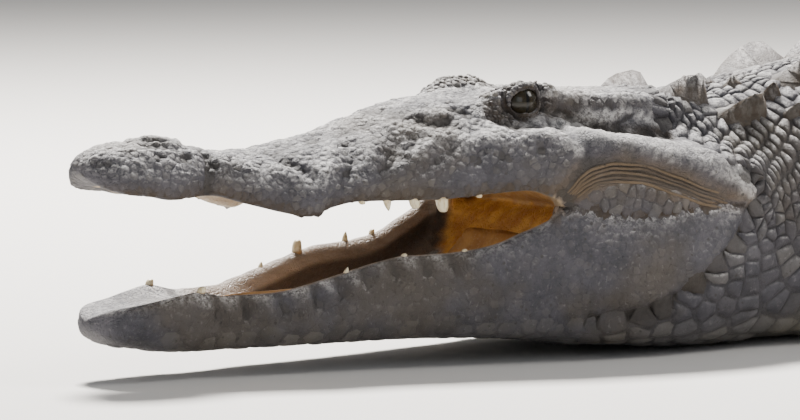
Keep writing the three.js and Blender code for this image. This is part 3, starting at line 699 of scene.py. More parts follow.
def rictusSkin(station, height):
    # the folded skin behind and above the corner of the mouth
    flank = np.stack([station, height], 1)
    rictus = np.exp(-((lineDistance(flank, offsetLine(rictusLine, 7, 0.4)) / 10) ** 2))
    rictus = np.maximum(rictus, 0.8 * np.exp(-((lineDistance(flank, cornerLine) / 9) ** 2)))
    rictus *= 1 - np.exp(-((lineDistance(flank, jawTopLine) / 4.5) ** 2))
    return rictus * (1 - smoothStep(0, 8, lineAt(jawTopLine, station) - height) * (station > 383))


def liningMask(station, out, isPalate):
    # from the gums inwards; the chin's top and the rim of the snout are hide
    (upperStart, upperReach, _), (lowerStart, lowerReach, _) = skinShape["upperTip"], skinShape["lowerTip"]
    start, reach = np.where(isPalate, upperStart, lowerStart), np.where(isPalate, upperReach, lowerReach)
    tip = np.sqrt(np.clip(1 - (np.clip(start - station, 0, None) / reach) ** 2, 0, 1))
    wide = np.where(isPalate, halfWidth(station) - coatDepth(station), jawHalfWidth(station))
    wall = np.minimum(wide * tip - np.abs(out), station - 12) - 8 * smoothStep(60, 20, station) * isPalate
    inside = np.where(isPalate, 1, smoothStep(95, 135, station))
    return smoothStep(1.5, 4.5, np.where(station < 378, wall, 5)) * inside


def sculptHead(mesh):
    co, normals = positionsOf(mesh), vectorsOf(mesh, "normal")
    region = np.empty(len(co), dtype=np.int32)
    mesh.attributes["region"].data.foreach_get("value", region)
    isUpper, isLower, isPalate, isFloor = (region == number for number in regions.values())
    outer, edge, jaw = isUpper | isLower, isPalate | isFloor, isLower | isFloor
    station, out, height = co[:, 0] + body["origin"], co[:, 1], co[:, 2]
    flank = np.stack([station, height], 1)
    head = (station < headRelief["end"]) & outer
    middleShare = np.abs(out) / halfWidth(station)
    lateral = smoothStep(0.42, 0.6, middleShare)
    side = foldField(flank, sideFolds) * lateral
    above = np.where(isUpper, smoothStep(0.25, 0.6, normals[:, 2]), 0)
    top = foldField(np.stack([station, np.abs(out)], 1), topFolds) * above
    rough = roughBone(co, station, height, head, lateral, middleShare, isUpper)
    rimGap = rimHeight(station) - height
    membrane = station - 337 - 0.7 * np.abs(out)          # ahead of the amber skin of the throat or within it
    # dust and a painted highlight along the ridges of the cheek, ear flap, skull table and jaw knob
    pale = foldField(flank, paleMarks)
    masks = {
        "relief": np.clip((side + top) / 5 + rough / 2.2, -1, 1),
        "lining": edge * liningMask(station, out, isPalate),
        "amber": edge * smoothStep(-4, 4, membrane) * np.where(isPalate, 0.55, 1),
        "gums": np.where(np.abs(membrane + 5) < 3.5, 0.48, np.clip(rimGap / 40, 0, 1)) * edge,
        "roof": isPalate * 1.0,
        "lip": brownSkinAndCreaseShade(station, out, height, isUpper, outer, lateral),
        "rictus": rictusSkin(station, height) * lateral * head,
        "pale": np.clip(pale + 0.5 * rough * (pale > 0.05), 0, 1) * outer,
        "under": smoothStep(-0.25, -0.85, normals[:, 2]),
    }
    co = co + normals * np.where(head, side + top + rough, 0)[:, None]
    out = sculptEye(station, co[:, 1], height, isUpper, normals[:, 1])
    # behind the corner of the mouth its lining keeps clear of the cheek
    co[:, 1] = out * np.where(edge, 1 - 0.16 * smoothStep(382, 398, station), 1)
    setPositions(mesh, co)
    rims = jaw & (station < 380) & (np.abs(rimGap) < 8) & (np.abs(out) > 0.3 * halfWidth(station))
    relaxed(mesh, np.flatnonzero(rims), headRelief["rimRounds"])
    chin = jaw & (station < 112) & (np.abs(rimGap) < 13)
    return masks, relaxed(mesh, np.flatnonzero(chin), headRelief["chinRounds"])


def refine(bm):
    spots = np.array([v.co for v in bm.verts])
    station = spots[:, 0] + body["origin"]
    fine = fineAreas(station, spots[:, 1], spots[:, 2])
    fine &= np.array([v[bm.verts.layers.int["region"]] for v in bm.verts]) <= regions["lower"]
    bm.verts.ensure_lookup_table()
    edges = [e for e in bm.edges if fine[e.verts[0].index] and fine[e.verts[1].index]]
    bmesh.ops.subdivide_edges(bm, edges=edges, cuts=1, use_grid_fill=True, smooth=0.6)


# legs
limbs = {
    "fore": {
        "joints": [[925, 110, 112, 54], [962, 205, 98, 47], [988, 276, 72, 36], [945, 325, 50, 35],
                   [900, 352, 27, 25]],
        "palm": (62, 76, 36, 2.5),        # length, width, height and heading
        "toes": [[0.8, 44, 11.5], [0.4, 58, 12], [0, 62, 12], [-0.4, 54, 10.5], [-0.8, 42, 9]],
    },
    "hind": {
        "joints": [[1838, 95, 112, 74], [1795, 205, 108, 66], [1748, 292, 86, 47], [1808, 345, 62, 45],
                   [1866, 378, 34, 31]],
        "palm": (112, 96, 42, 2.45),
        "toes": [[0.42, 74, 13.5], [0.15, 96, 14], [-0.14, 92, 13], [-0.42, 72, 11]],
    },
}
# how far the legs' skin lies inside their outline, how it is meshed and smoothed, and the distance from the
# body's skin beyond which it counts as a leg's
legShape = {"coat": 2.5, "voxel": 6.0, "relaxRounds": 5, "seamRings": 5, "seamRounds": 10, "clear": 3.5}


def jointSpot(side, joint):
    return Vector((joint[0] - body["origin"], side * joint[1], joint[2]))


def toesOf(limb, side):
    # each toe's root, direction, length and radius
    data = limbs[limb]
    length, width, _, heading = data["palm"]
    ahead = Vector((math.cos(heading), side * math.sin(heading), 0))
    across = Vector((-ahead.y, ahead.x, 0)) * side
    ankle = jointSpot(side, data["joints"][-1])
    ankle.z = 0
    toes = []
    for i, (spread, toeLength, radius) in enumerate(data["toes"]):
        root = ankle + ahead * length * 0.82 + across * width * 0.4 * (1 - 2 * i / (len(data["toes"]) - 1))
        toes.append((root, Matrix.Rotation(side * spread, 3, "Z") @ ahead, toeLength, radius))
    return ankle, ahead, toes


def addBall(bm, spot, radius, scale=(1, 1, 1), turn=None):
    matrix = Matrix.Translation(spot) @ (turn or Matrix()) @ Matrix.Diagonal((*scale, 1))
    bmesh.ops.create_icosphere(bm, subdivisions=3, radius=radius, matrix=matrix)


def addLimb(bm, a, b, radiusA, radiusB):
    # a round-ended cone from a to b
    way = b - a
    matrix = Matrix.Translation((a + b) / 2) @ way.to_track_quat("Z", "Y").to_matrix().to_4x4()
    bmesh.ops.create_cone(bm, cap_ends=True, segments=20, radius1=radiusA, radius2=radiusB, depth=way.length,
                          matrix=matrix)
    addBall(bm, a, radiusA)
    addBall(bm, b, radiusB)


def makeLeg(limb, side):
    bm = bmesh.new()
    data = limbs[limb]
    joints = [(jointSpot(side, joint), joint[3] - legShape["coat"]) for joint in data["joints"]]
    for (a, radiusA), (b, radiusB) in zip(joints, joints[1:]):
        addLimb(bm, a, b, radiusA, radiusB)
    ankle, ahead, toes = toesOf(limb, side)
    length, width, height, _ = data["palm"]
    turn = ahead.to_track_quat("X", "Z").to_matrix().to_4x4()
    lift = Vector((0, 0, height * 0.32))
    addBall(bm, ankle + ahead * length * 0.42 + lift, 1, (length * 0.62, width * 0.46, height * 0.42), turn)
    addLimb(bm, joints[-1][0], ankle + ahead * length * 0.45 + lift, joints[-1][1] * 0.95, height * 0.42)
    for root, way, toeLength, radius in toes:
        knuckle = root + Vector((0, 0, radius * 1.05))
        middle = root + way * toeLength * 0.5 + Vector((0, 0, radius * 0.98))
        tip = root + way * toeLength * 0.98 + Vector((0, 0, radius * 0.72))
        heel = ankle + ahead * length * 0.35 + Vector((0, 0, height * 0.36))
        addLimb(bm, heel, knuckle, radius * 1.1, radius * 1.12)
        addLimb(bm, knuckle, middle, radius * 1.08, radius * 0.86)
        addLimb(bm, middle, tip, radius * 0.9, radius * 0.66)
    for v in bm.verts:
        v.co.z = max(v.co.z, 1.2)
    leg = addObject("leg", meshFrom(bm, "leg"))
    remesh = leg.modifiers.new("skin", "REMESH")
    remesh.mode = "VOXEL"
    remesh.voxel_size = legShape["voxel"]
    relax = leg.modifiers.new("relax", "SMOOTH")
    relax.factor = 0.5
    relax.iterations = legShape["relaxRounds"]
    return leg


def joinLegs(skin):
    legs = []
    for side in (-1, 1):
        for limb in limbs:
            leg = makeLeg(limb, side)
            legs.append(leg)
            union = skin.modifiers.new("leg", "BOOLEAN")
            union.operation = "UNION"
            union.solver = "MANIFOLD"
            union.object = leg
    bpy.context.view_layer.update()
    graph = bpy.context.evaluated_depsgraph_get()
    joined = bpy.data.meshes.new_from_object(skin.evaluated_get(graph))
    skin.modifiers.clear()
    for leg in legs:
        bpy.data.objects.remove(leg)
    return joined


# the line where the head's skin ends and the neck's scales begin, as [station, height]
neckFront = [[522, 214], [521, 207], [512, 192], [529, 172], [549, 153], [566, 137], [571, 124], [562, 111],
             [550, 100], [538, 88], [523, 75], [508, 61], [494, 52], [475, 42], [456, 35], [430, 28],
             [412, 16]]


def curveOf(pairs):
    xs, ys = np.array(pairs, float).T
    return lambda x: np.interp(x, xs, ys)


frontOfNeck = curveOf([[z, h] for h, z in reversed(neckFront)])


def nearestValues(spots, masks, targets, reach):
    # masks kept for spots, looked up again at new points
    tree = treeOf(spots)
    found = [tree.find(target) for target in targets]
    index = np.array([f[1] for f in found])
    near = np.array([f[2] for f in found]) < reach
    return {name: np.where(near, values[index], 0) for name, values in masks.items()}, near


skinMasks = {}


def makeSkin():
    bm = makeSkinBase()
    refine(bm)
    bmesh.ops.recalc_face_normals(bm, faces=bm.faces)
    mesh = meshFrom(bm, "skin")
    mesh.update()
    masks, spots = sculptHead(mesh)
    print("head sculpted")
    skin = addObject("bodySkin", mesh)
    joined = joinLegs(skin)
    bpy.data.objects.remove(skin)
    co = positionsOf(joined)
    found, near = nearestValues(spots, masks, co, 0.6)
    found["leg"] = (~near) * 1.0
    bm = bmesh.new()
    bm.from_mesh(joined)
    bm.verts.ensure_lookup_table()
    # the legs run smoothly into the body where they join it
    isLeg = ~near
    seam = [bm.verts[i] for i in np.flatnonzero(isLeg)]
    ring = {v for v in seam if any(not isLeg[e.other_vert(v).index] for e in v.link_edges)}
    for _ in range(legShape["seamRings"]):
        ring |= {e.other_vert(v) for v in ring for e in v.link_edges}
    soften(bm, [v for v in ring if v.co.z > 6], legShape["seamRounds"])
    bmesh.ops.recalc_face_normals(bm, faces=bm.faces)
    openEdges = sum(1 for e in bm.edges if not e.is_manifold)
    bm.to_mesh(joined)
    bm.free()
    # skin under the neck, trunk and leg scales gets a low rise, which paints shade in the gaps between them
    found["rise"] = np.where((co[:, 0] + body["origin"] > frontOfNeck(co[:, 2])) | ~near, 0.3, 0.62)
    downward = smoothStep(-0.25, -0.85, vectorsOf(joined, "normal")[:, 2])
    found["under"] = np.where(near, found["under"], downward)
    for name, values in found.items():
        setAttribute(joined, name, values)
        skinMasks[name] = values
    count = sum(len(p.vertices) - 2 for p in joined.polygons)
    print("skin:", count, "triangles,", openEdges, "open edges")
    return joined


# materials
def newGroup(name, inputs, outputs):
    # a shader node group with named float inputs and its outputs
    group = bpy.data.node_groups.new(name, "ShaderNodeTree")
    for socket, value in inputs.items():
        made = group.interface.new_socket(socket, in_out="INPUT", socket_type="NodeSocketFloat")
        made.default_value = value
    for socket, kind in outputs.items():
        group.interface.new_socket(socket, in_out="OUTPUT", socket_type=kind)
    return group, group.nodes.new("NodeGroupInput"), group.nodes.new("NodeGroupOutput")


def setInput(tree, socket, value):
    if isinstance(value, bpy.types.NodeSocket):
        tree.links.new(value, socket)
    elif isinstance(value, tuple):
        socket.default_value = (*value, 1)
    else:
        socket.default_value = value


def addMath(tree, operation, a, b=0.0, clamp=False):
    node = tree.nodes.new("ShaderNodeMath")
    node.operation = operation
    node.use_clamp = clamp
    setInput(tree, node.inputs[0], a)
    setInput(tree, node.inputs[1], b)
    return node.outputs[0]


def times(tree, a, b):
    return addMath(tree, "MULTIPLY", a, b)


def plus(tree, a, b, clamp=False):
    return addMath(tree, "ADD", a, b, clamp)


def larger(tree, a, b):
    return addMath(tree, "MAXIMUM", a, b)


def addRange(tree, value, low, high, to=(0.0, 1.0)):
    # value between low and high becomes a smooth share, or what `to` says
    node = tree.nodes.new("ShaderNodeMapRange")
    node.interpolation_type = "SMOOTHSTEP"
    for socket, number in zip(node.inputs, (value, low, high, *to)):
        setInput(tree, socket, number)
    return node.outputs[0]


def addMix(tree, share, a, b, mode="MIX"):
    node = tree.nodes.new("ShaderNodeMix")
    node.data_type = "RGBA"
    node.blend_type = mode
    for socket, value in ((0, share), (6, a), (7, b)):
        setInput(tree, node.inputs[socket], value)
    return node.outputs[2]


def addNoise(tree, coordinates, scale, detail=3.0, stretch=None, roughness=0.55):
    if stretch:
        mapping = tree.nodes.new("ShaderNodeMapping")
        mapping.inputs["Scale"].default_value = stretch
        tree.links.new(coordinates, mapping.inputs["Vector"])
        coordinates = mapping.outputs[0]
    node = tree.nodes.new("ShaderNodeTexNoise")
    tree.links.new(coordinates, node.inputs["Vector"])
    node.inputs["Scale"].default_value = scale
    node.inputs["Detail"].default_value = detail
    node.inputs["Roughness"].default_value = roughness
    return node.outputs["Fac"]


def addCells(tree, coordinates, scale, feature="DISTANCE_TO_EDGE"):
    node = tree.nodes.new("ShaderNodeTexVoronoi")
    node.feature = feature
    tree.links.new(coordinates, node.inputs["Vector"])
    node.inputs["Scale"].default_value = scale
    return node.outputs["Distance"]


def readAttribute(tree, name):
    node = tree.nodes.new("ShaderNodeAttribute")
    node.attribute_name = name
    return node.outputs["Fac"]


def axesOf(tree, vector):
    node = tree.nodes.new("ShaderNodeSeparateXYZ")
    tree.links.new(vector, node.inputs[0])
    return node.outputs


def objectPlace(tree):
    return tree.nodes.new("ShaderNodeTexCoord").outputs["Object"]


hideColours = {
    # dark is painted shade: creases, pits and the gaps between scales
    "dark": (0.046, 0.041, 0.037),      # creases and the gaps between scales
    "slate": (0.046, 0.045, 0.054),
    "grey": (0.090, 0.086, 0.098),
    # pale dust, which also serves as a painted highlight on the tops
    "dustAndTopLight": (0.64, 0.62, 0.60),
    "olive": (0.088, 0.070, 0.048),
    "brown": (0.052, 0.037, 0.025),
    # tan of the folded skin at the mouth's corner; tanDeep is painted shade in its furrows
    "tan": (0.160, 0.108, 0.056),
    "tanDeep": (0.078, 0.053, 0.032),
    "cream": (0.40, 0.365, 0.285),
    "banding": (0.072, 0.066, 0.058),
}


def makeHideGroup():
    # the markings of the hide, which its skin and its scales share
    inputs = {"Rise": 0.6, "Tint": 0.5, "Relief": 0.0, "Rictus": 0.0, "Lip": 0.0, "Pale": 0.0, "Under": 0.0}
    outputs = {"Color": "NodeSocketColor", "Roughness": "NodeSocketFloat"}
    tree, given, result = newGroup("hideMarkings", inputs, outputs)
    c = hideColours
    rise, tint, relief, rictus, lip, pale, below = (given.outputs[name] for name in inputs)
    spot = objectPlace(tree)
    normal = axesOf(tree, tree.nodes.new("ShaderNodeNewGeometry").outputs["Normal"])
    at = axesOf(tree, spot)
    broad = addNoise(tree, spot, 9, 4)
    patchy = addNoise(tree, spot, 42, 5, roughness=0.62)
    grainy = addNoise(tree, spot, 210, 4, roughness=0.7)
    fine = addNoise(tree, spot, 620, 3, roughness=0.7)
    mottle = addRange(tree, plus(tree, times(tree, patchy, 0.6), times(tree, grainy, 0.4)), 0.36, 0.66)
    base = addMix(tree, mottle, c["slate"], c["grey"])
    base = addMix(tree, times(tree, addRange(tree, broad, 0.46, 0.66), 0.55), base, c["olive"])
    each = times(tree, addMath(tree, "SUBTRACT", tint, 0.5), 0.55)
    base = addMix(tree, addMath(tree, "ABSOLUTE", each), base,
                  addMix(tree, addMath(tree, "GREATER_THAN", each, 0.0), c["brown"], c["cream"]))
    # dark bands over the flanks and tail, pale belly
    behind = addRange(tree, at["X"], -0.35, 0.2)
    bands = addNoise(tree, spot, 3.1, 2, (1.7, 0.25, 0.5))
    banding = times(tree, addRange(tree, bands, 0.50, 0.58), times(tree, behind, 0.62))
    base = addMix(tree, banding, base, c["banding"])
    # the pale belly fades out towards the head, so the throat and neck below stay dark: painted shade
    under = times(tree, below, addRange(tree, at["X"], -0.95, -0.45, (0.06, 0.95)))
    base = addMix(tree, under, base, c["cream"])
    # dust and a painted highlight lie on what faces up and on raised places, and miss pits: the lighter tops
    # stand in for light from above
    facing = addRange(tree, normal["Z"], 0.05, 0.78)
    raised = addRange(tree, plus(tree, times(tree, relief, 0.55), rise), 0.15, 1.15)
    speckle = addRange(tree, plus(tree, times(tree, grainy, 0.6), times(tree, fine, 0.4)), 0.40, 0.60)
    patches = addRange(tree, patchy, 0.34, 0.62, (0.35, 1.0))
    dustAndTopLight = times(tree, times(tree, facing, raised), times(tree, speckle, patches))
    scratches = addNoise(tree, spot, 330, 2, (1, 1, 0.7), 0.6)
    scuffs = times(tree, addRange(tree, scratches, 0.60, 0.72), times(tree, raised, 0.09))
    dustAndTopLight = times(tree, dustAndTopLight, addRange(tree, at["X"], -0.75, -0.2, (0.95, 0.5)))
    dustAndTopLight = larger(tree, dustAndTopLight, scuffs)
    # pale marks: dust and a painted highlight along the cheek bone, ear flap, skull table and jaw knob
    dustAndTopLight = larger(tree, dustAndTopLight, times(tree, pale, addRange(tree, speckle, 0, 0.8, (0.25, 0.8))))
    colour = addMix(tree, dustAndTopLight, base, c["dustAndTopLight"])
    # brown and the painted crease shade are weaker on faces turned up, so sides stay darker than tops: partly
    # painted shade
    lip = times(tree, lip, addRange(tree, normal["Z"], 0.70, 0.98, (1.0, 0.30)))
    streaky = addNoise(tree, spot, 150, 3, (1, 1, 0.3))
    lip = times(tree, lip, addRange(tree, streaky, 0.34, 0.60, (0.62, 0.95)))
    colour = addMix(tree, lip, colour, c["brown"])
    # folded skin at the corner of the mouth: tan ridges, partly painted highlight, with painted shade in the
    # furrows
    folds = addMix(tree, addRange(tree, relief, -0.85, 0.25), c["tanDeep"], c["tan"])
    colour = addMix(tree, times(tree, rictus, 0.85), colour, folds)
    # painted shade in creases, pits and the gaps between scales, and dark pores
    low = times(tree, addRange(tree, relief, -0.10, -0.75), 0.72)
    gap = times(tree, addRange(tree, rise, 0.45, 0.05), 0.85)
    pores = addRange(tree, addCells(tree, spot, 135, "F1"), 0.24, 0.14)
    pores = times(tree, pores, addRange(tree, grainy, 0.42, 0.58, (0.0, 0.72)))
    shade = larger(tree, larger(tree, low, gap), pores)
    colour = addMix(tree, shade, colour, c["dark"])
    tree.links.new(colour, result.inputs["Color"])
    tree.links.new(addRange(tree, grainy, 0.3, 0.7, (0.52, 0.80)), result.inputs["Roughness"])
    return tree


def makeGrainGroup():
    # fine wrinkles, cracks and grain as a height
    inputs = {"Cracks": 1.0, "Grain": 1.0}
    tree, given, result = newGroup("hideGrain", inputs, {"Height": "NodeSocketFloat"})
    spot = objectPlace(tree)
    warp = tree.nodes.new("ShaderNodeTexNoise")
    tree.links.new(spot, warp.inputs["Vector"])
    warp.inputs["Scale"].default_value = 60
    bent = addMix(tree, 0.006, spot, warp.outputs["Color"], "LINEAR_LIGHT")
    cells = addRange(tree, addCells(tree, bent, 190), 0.0, 0.16)
    finer = addRange(tree, addCells(tree, bent, 520), 0.0, 0.25)
    cracks = times(tree, plus(tree, cells, times(tree, finer, 0.4)), given.outputs["Cracks"])
    grain = times(tree, addNoise(tree, spot, 900, 4, roughness=0.7), given.outputs["Grain"])
    tree.links.new(plus(tree, cracks, grain), result.inputs["Height"])
    return tree


def placeGroup(tree, group, **values):
    node = tree.nodes.new("ShaderNodeGroup")
    node.node_tree = group
    for name, value in values.items():
        setInput(tree, node.inputs[name], value)
    return node


def startMaterial(name, specular=0.3):
    material = plainMaterial(name, (0.3, 0.3, 0.3), 0.6)
    shader = material.node_tree.nodes["Principled BSDF"]
    shader.inputs["Specular IOR Level"].default_value = specular
    return material, material.node_tree, shader


def finishMaterial(tree, shader, colour, roughness, height, distance, strength=1.0):
    tree.links.new(colour, shader.inputs["Base Color"])
    tree.links.new(roughness, shader.inputs["Roughness"])
    bump = tree.nodes.new("ShaderNodeBump")
    bump.inputs["Strength"].default_value = strength
    bump.inputs["Distance"].default_value = distance
    tree.links.new(height, bump.inputs["Height"])
    tree.links.new(bump.outputs["Normal"], shader.inputs["Normal"])


def makeHide(name, isSkin):
    material, tree, shader = startMaterial(name)
    names = ("rise", "relief", "rictus", "lip", "pale", "under")
    marks = {name.capitalize(): readAttribute(tree, name) for name in names}
    marks["Tint"] = 0.5 if isSkin else readAttribute(tree, "tint")
    hide = placeGroup(tree, hideMarkings, **marks)
    colour, roughness = hide.outputs["Color"], hide.outputs["Roughness"]
    if isSkin:
        lining, amber = readAttribute(tree, "lining"), readAttribute(tree, "amber")
        spot = objectPlace(tree)
        veins = addNoise(tree, spot, 55, 5, (0.4, 1, 1.6), 0.65)
        blotches = addNoise(tree, spot, 23, 3)
        roof = readAttribute(tree, "roof")
        flesh = addMix(tree, addRange(tree, veins, 0.36, 0.66), liningColours["deep"], liningColours["amber"])
        rusty = times(tree, addRange(tree, blotches, 0.5, 0.7), 0.5)
        flesh = addMix(tree, rusty, flesh, liningColours["rust"])
        gums = readAttribute(tree, "gums")
        band = times(tree, addRange(tree, veins, 0.30, 0.62, (0.45, 1.0)), addRange(tree, gums, 0.42, 0.28))
        light = plus(tree, band, addRange(tree, gums, 0.55, 0.9, (0.0, 0.3)), True)
        gum = addMix(tree, light, liningColours["gumDark"], liningColours["gum"])
        gum = addMix(tree, roof, gum, liningColours["roof"])
        colour = addMix(tree, lining, colour, addMix(tree, amber, gum, flesh))
        roughness = addMath(tree, "SUBTRACT", roughness, times(tree, lining, 0.18))
    grain = placeGroup(tree, hideGrain, Cracks=0.65 if isSkin else 0.22, Grain=0.8)
    finishMaterial(tree, shader, colour, roughness, grain.outputs["Height"], 0.0007)
    return material


liningColours = {
    "amber": (0.74, 0.40, 0.095), "deep": (0.50, 0.22, 0.045), "rust": (0.34, 0.125, 0.030),
    "gum": (0.36, 0.295, 0.245), "gumDark": (0.070, 0.053, 0.043), "roof": (0.36, 0.27, 0.175),
}


def makeEyeMaterial():
    material, tree, shader = startMaterial("eyeball", 0.22)
    across, up = readAttribute(tree, "gazeAcross"), readAttribute(tree, "gazeUp")
    radius = addMath(tree, "SQRT", plus(tree, times(tree, across, across), times(tree, up, up)))
    turn = addMath(tree, "ARCTAN2", up, across)
    place = tree.nodes.new("ShaderNodeCombineXYZ")
    tree.links.new(times(tree, turn, 9.0), place.inputs[0])
    tree.links.new(times(tree, radius, 2.2), place.inputs[1])
    streaks = addNoise(tree, place.outputs[0], 1.0, 4, roughness=0.7)
    clouds = addNoise(tree, objectPlace(tree), 260, 4)
    iris = addMix(tree, addRange(tree, streaks, 0.32, 0.68), eyeColours["irisDark"], eyeColours["iris"])
    iris = addMix(tree, addRange(tree, clouds, 0.45, 0.72), iris, eyeColours["irisOlive"])
    iris = addMix(tree, addRange(tree, radius, 0.60, 0.78), iris, eyeColours["rim"])
    height = times(tree, up, 1.55)
    slit = plus(tree, times(tree, height, height), addMath(tree, "ABSOLUTE", times(tree, across, 10.5)))
    colour = addMix(tree, addRange(tree, slit, 1.05, 0.9), iris, eyeColours["pupil"])
    shader.inputs["Coat Weight"].default_value = 0.22
    shader.inputs["Coat Roughness"].default_value = 0.09
    finishMaterial(tree, shader, colour, addRange(tree, clouds, 0.3, 0.7, (0.16, 0.26)), clouds, 0.0002, 0.3)
    return material


eyeColours = {
    "iris": (0.034, 0.025, 0.012), "irisDark": (0.010, 0.008, 0.005), "irisOlive": (0.020, 0.019, 0.012),
    "rim": (0.016, 0.012, 0.009), "pupil": (0.004, 0.004, 0.004),
}


def makeToothMaterial():
    material, tree, shader = startMaterial("toothIvory", 0.5)
    spot = objectPlace(tree)
    along = readAttribute(tree, "along")
    stain = addNoise(tree, spot, 420, 4, (1, 1, 0.35))
    colour = addMix(tree, addRange(tree, stain, 0.42, 0.70), (0.72, 0.63, 0.44), (0.50, 0.38, 0.20))
    colour = addMix(tree, addRange(tree, along, 0.42, 0.05), colour, (0.25, 0.15, 0.07))
    tip = times(tree, addRange(tree, along, 0.88, 1.0), 0.5)
    colour = addMix(tree, tip, colour, (0.62, 0.56, 0.46))
    roughness = addRange(tree, stain, 0.3, 0.7, (0.22, 0.42))
    finishMaterial(tree, shader, colour, roughness, stain, 0.0003, 0.6)
    return material


def makeClawMaterial():
    material, tree, shader = startMaterial("clawHorn", 0.45)
    spot = objectPlace(tree)
    along = readAttribute(tree, "along")
    layers = addNoise(tree, spot, 520, 4, (1, 0.3, 1))
    colour = addMix(tree, addRange(tree, layers, 0.4, 0.66), (0.045, 0.037, 0.030), (0.13, 0.105, 0.078))
    tip = times(tree, addRange(tree, along, 0.6, 1.0), 0.6)
    colour = addMix(tree, tip, colour, (0.30, 0.25, 0.18))
    roughness = addRange(tree, layers, 0.3, 0.7, (0.35, 0.6))
    finishMaterial(tree, shader, colour, roughness, layers, 0.0005, 0.7)
    return material


def makeTongueMaterial():
    material, tree, shader = startMaterial("tongueSkin", 0.4)
    spot = objectPlace(tree)
    blotches = addNoise(tree, spot, 38, 5)
    buds = addCells(tree, spot, 340, "F1")
    colour = addMix(tree, addRange(tree, blotches, 0.36, 0.66), (0.42, 0.215, 0.065), (0.62, 0.36, 0.13))
    colour = addMix(tree, addRange(tree, buds, 0.30, 0.10), colour, (0.55, 0.36, 0.19))
    roughness = addRange(tree, blotches, 0.3, 0.7, (0.42, 0.62))
    finishMaterial(tree, shader, colour, roughness, buds, 0.0006, 0.7)
    return material


hideMarkings = makeHideGroup()
hideGrain = makeGrainGroup()
materials = {
    "hide": makeHide("hide", True),
    "scales": makeHide("scales", False),
    "eye": makeEyeMaterial(),
    "tooth": makeToothMaterial(),
    "claw": makeClawMaterial(),
    "tongue": makeTongueMaterial(),
}
print("materials are made")

skinMesh = makeSkin()
skinSpots, skinNormals = positionsOf(skinMesh), vectorsOf(skinMesh, "normal")
skinFaces = [p.vertices for p in skinMesh.polygons]
bodyTree = BVHTree.FromPolygons([v.co.copy() for v in skinMesh.vertices], skinFaces)
maskTree = treeOf(skinSpots)
skinMesh.calc_loop_triangles()
skinTriangles = np.empty(len(skinMesh.loop_triangles) * 3, dtype=np.int32)
skinMesh.loop_triangles.foreach_get("vertices", skinTriangles)
skinTriangles = skinTriangles.reshape(-1, 3)
setPositions(skinMesh, skinSpots * metre)
skin = meshPiece("skin", skinMesh, materials["hide"])
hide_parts(*[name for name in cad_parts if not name.startswith(("claw", "eye", "tongue"))])
print("skin is in place")


# eyes
eyeGaze = {"yaw": 0.10, "pitch": 0.06, "bulge": 1.5, "flatten": 0.25, "back": 3.0}


def makeEyes():
    for side, word in ((-1, "left"), (1, "right")):
        bm = bmesh.new()
        bmesh.ops.create_uvsphere(bm, u_segments=56, v_segments=36, radius=eyeSpot["radius"])
        gaze = Vector((-math.sin(eyeGaze["yaw"]), side, eyeGaze["pitch"])).normalized()
        up = Vector((0, 0, 1))
        across = gaze.cross(up).normalized()
        up = across.cross(gaze)
        turn = Matrix((across, up, gaze)).transposed()
        for v in bm.verts:
            v.co.z += eyeGaze["bulge"] * max(v.co.z / eyeSpot["radius"], 0) ** 3
            high = min(max((abs(v.co.y) / eyeSpot["radius"] - 0.5) / 0.5, 0), 1)
            v.co.y *= 1 - eyeGaze["flatten"] * high * high
            v.co.z = max(v.co.z, eyeGaze["back"])
        mesh = meshFrom(bm, "eye")
        local = positionsOf(mesh)
        for axis, name in enumerate(("gazeAcross", "gazeUp")):
            setAttribute(mesh, name, local[:, axis] / eyeSpot["radius"])
        middle = Vector((eyeSpot["station"] - body["origin"], side * eyeSpot["out"], eyeSpot["height"]))
        setPositions(mesh, (local @ np.array(turn).T + np.array(middle)) * metre)
        piece = meshPiece(f"eyeball_{word}", mesh, materials["eye"])
        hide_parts(f"eye_{word}")


makeEyes()


# teeth, tongue and claws
teeth = {
    # station, length, radius and form; the upper ones point down, the lower ones up
    "upper": [[219, 3.4, 3.2, "blunt"], [242, 9, 3.8, "sharp"], [265, 7.5, 4.6, "blunt"],
              [288, 11, 5.2, "blunt"], [318, 3, 3.0, "blunt"]],
    "lowerNear": [[82, 2.2, 3.4, "blunt"], [207, 4.0, 2.6, "sharp"], [256, 1.6, 2.8, "blunt"],
        [306, 1, 2.6, "blunt"]],
    "lowerFar": [[82, 2.2, 3.4, "blunt"], [196, 4, 2.6, "sharp"], [235, 9, 4.2, "blunt"],
        [290, 7, 2.8, "sharp"], [322, 3, 2.6, "blunt"]],
    "farUpperFrom": 260,
    "inset": 4.4,
    "gum": 3.5,
}
hornForms = {
    "sharp": [(0.0, 1.0), (0.22, 0.97), (0.45, 0.84), (0.66, 0.64), (0.84, 0.40), (0.95, 0.20), (1.0, 0.05)],
    "blunt": [(0.0, 1.0), (0.3, 1.0), (0.6, 0.92), (0.8, 0.82), (0.93, 0.64), (0.985, 0.38), (1.0, 0.12)],
}


def addHorn(bm, layer, root, way, length, radius, curve, form):
    # a curved cone from rings that are bridged, closed at both ends
    turn = way.to_track_quat("Z", "Y").to_matrix().to_4x4()
    previous = None
    for share, size in hornForms[form]:
        middle = root + way * (length * share) + curve * share * share
        ring = bmesh.ops.create_circle(bm, segments=12, radius=radius * size, cap_ends=share in (0, 1.0),
                                       matrix=Matrix.Translation(middle) @ turn)["verts"]
        for v in ring:
            v[layer] = share
        edges = [e for e in {e for v in ring for e in v.link_edges} if len(e.link_faces) < 2]
        edges = [e for e in edges if e.verts[0] in ring and e.verts[1] in ring]
        if previous:
            bmesh.ops.bridge_loops(bm, edges=previous + edges)
        previous = edges


def closedPiece(name, bm, material):
    bmesh.ops.recalc_face_normals(bm, faces=bm.faces)
    mesh = meshFrom(bm, name)
    setPositions(mesh, positionsOf(mesh) * metre)
    return meshPiece(name, mesh, material)


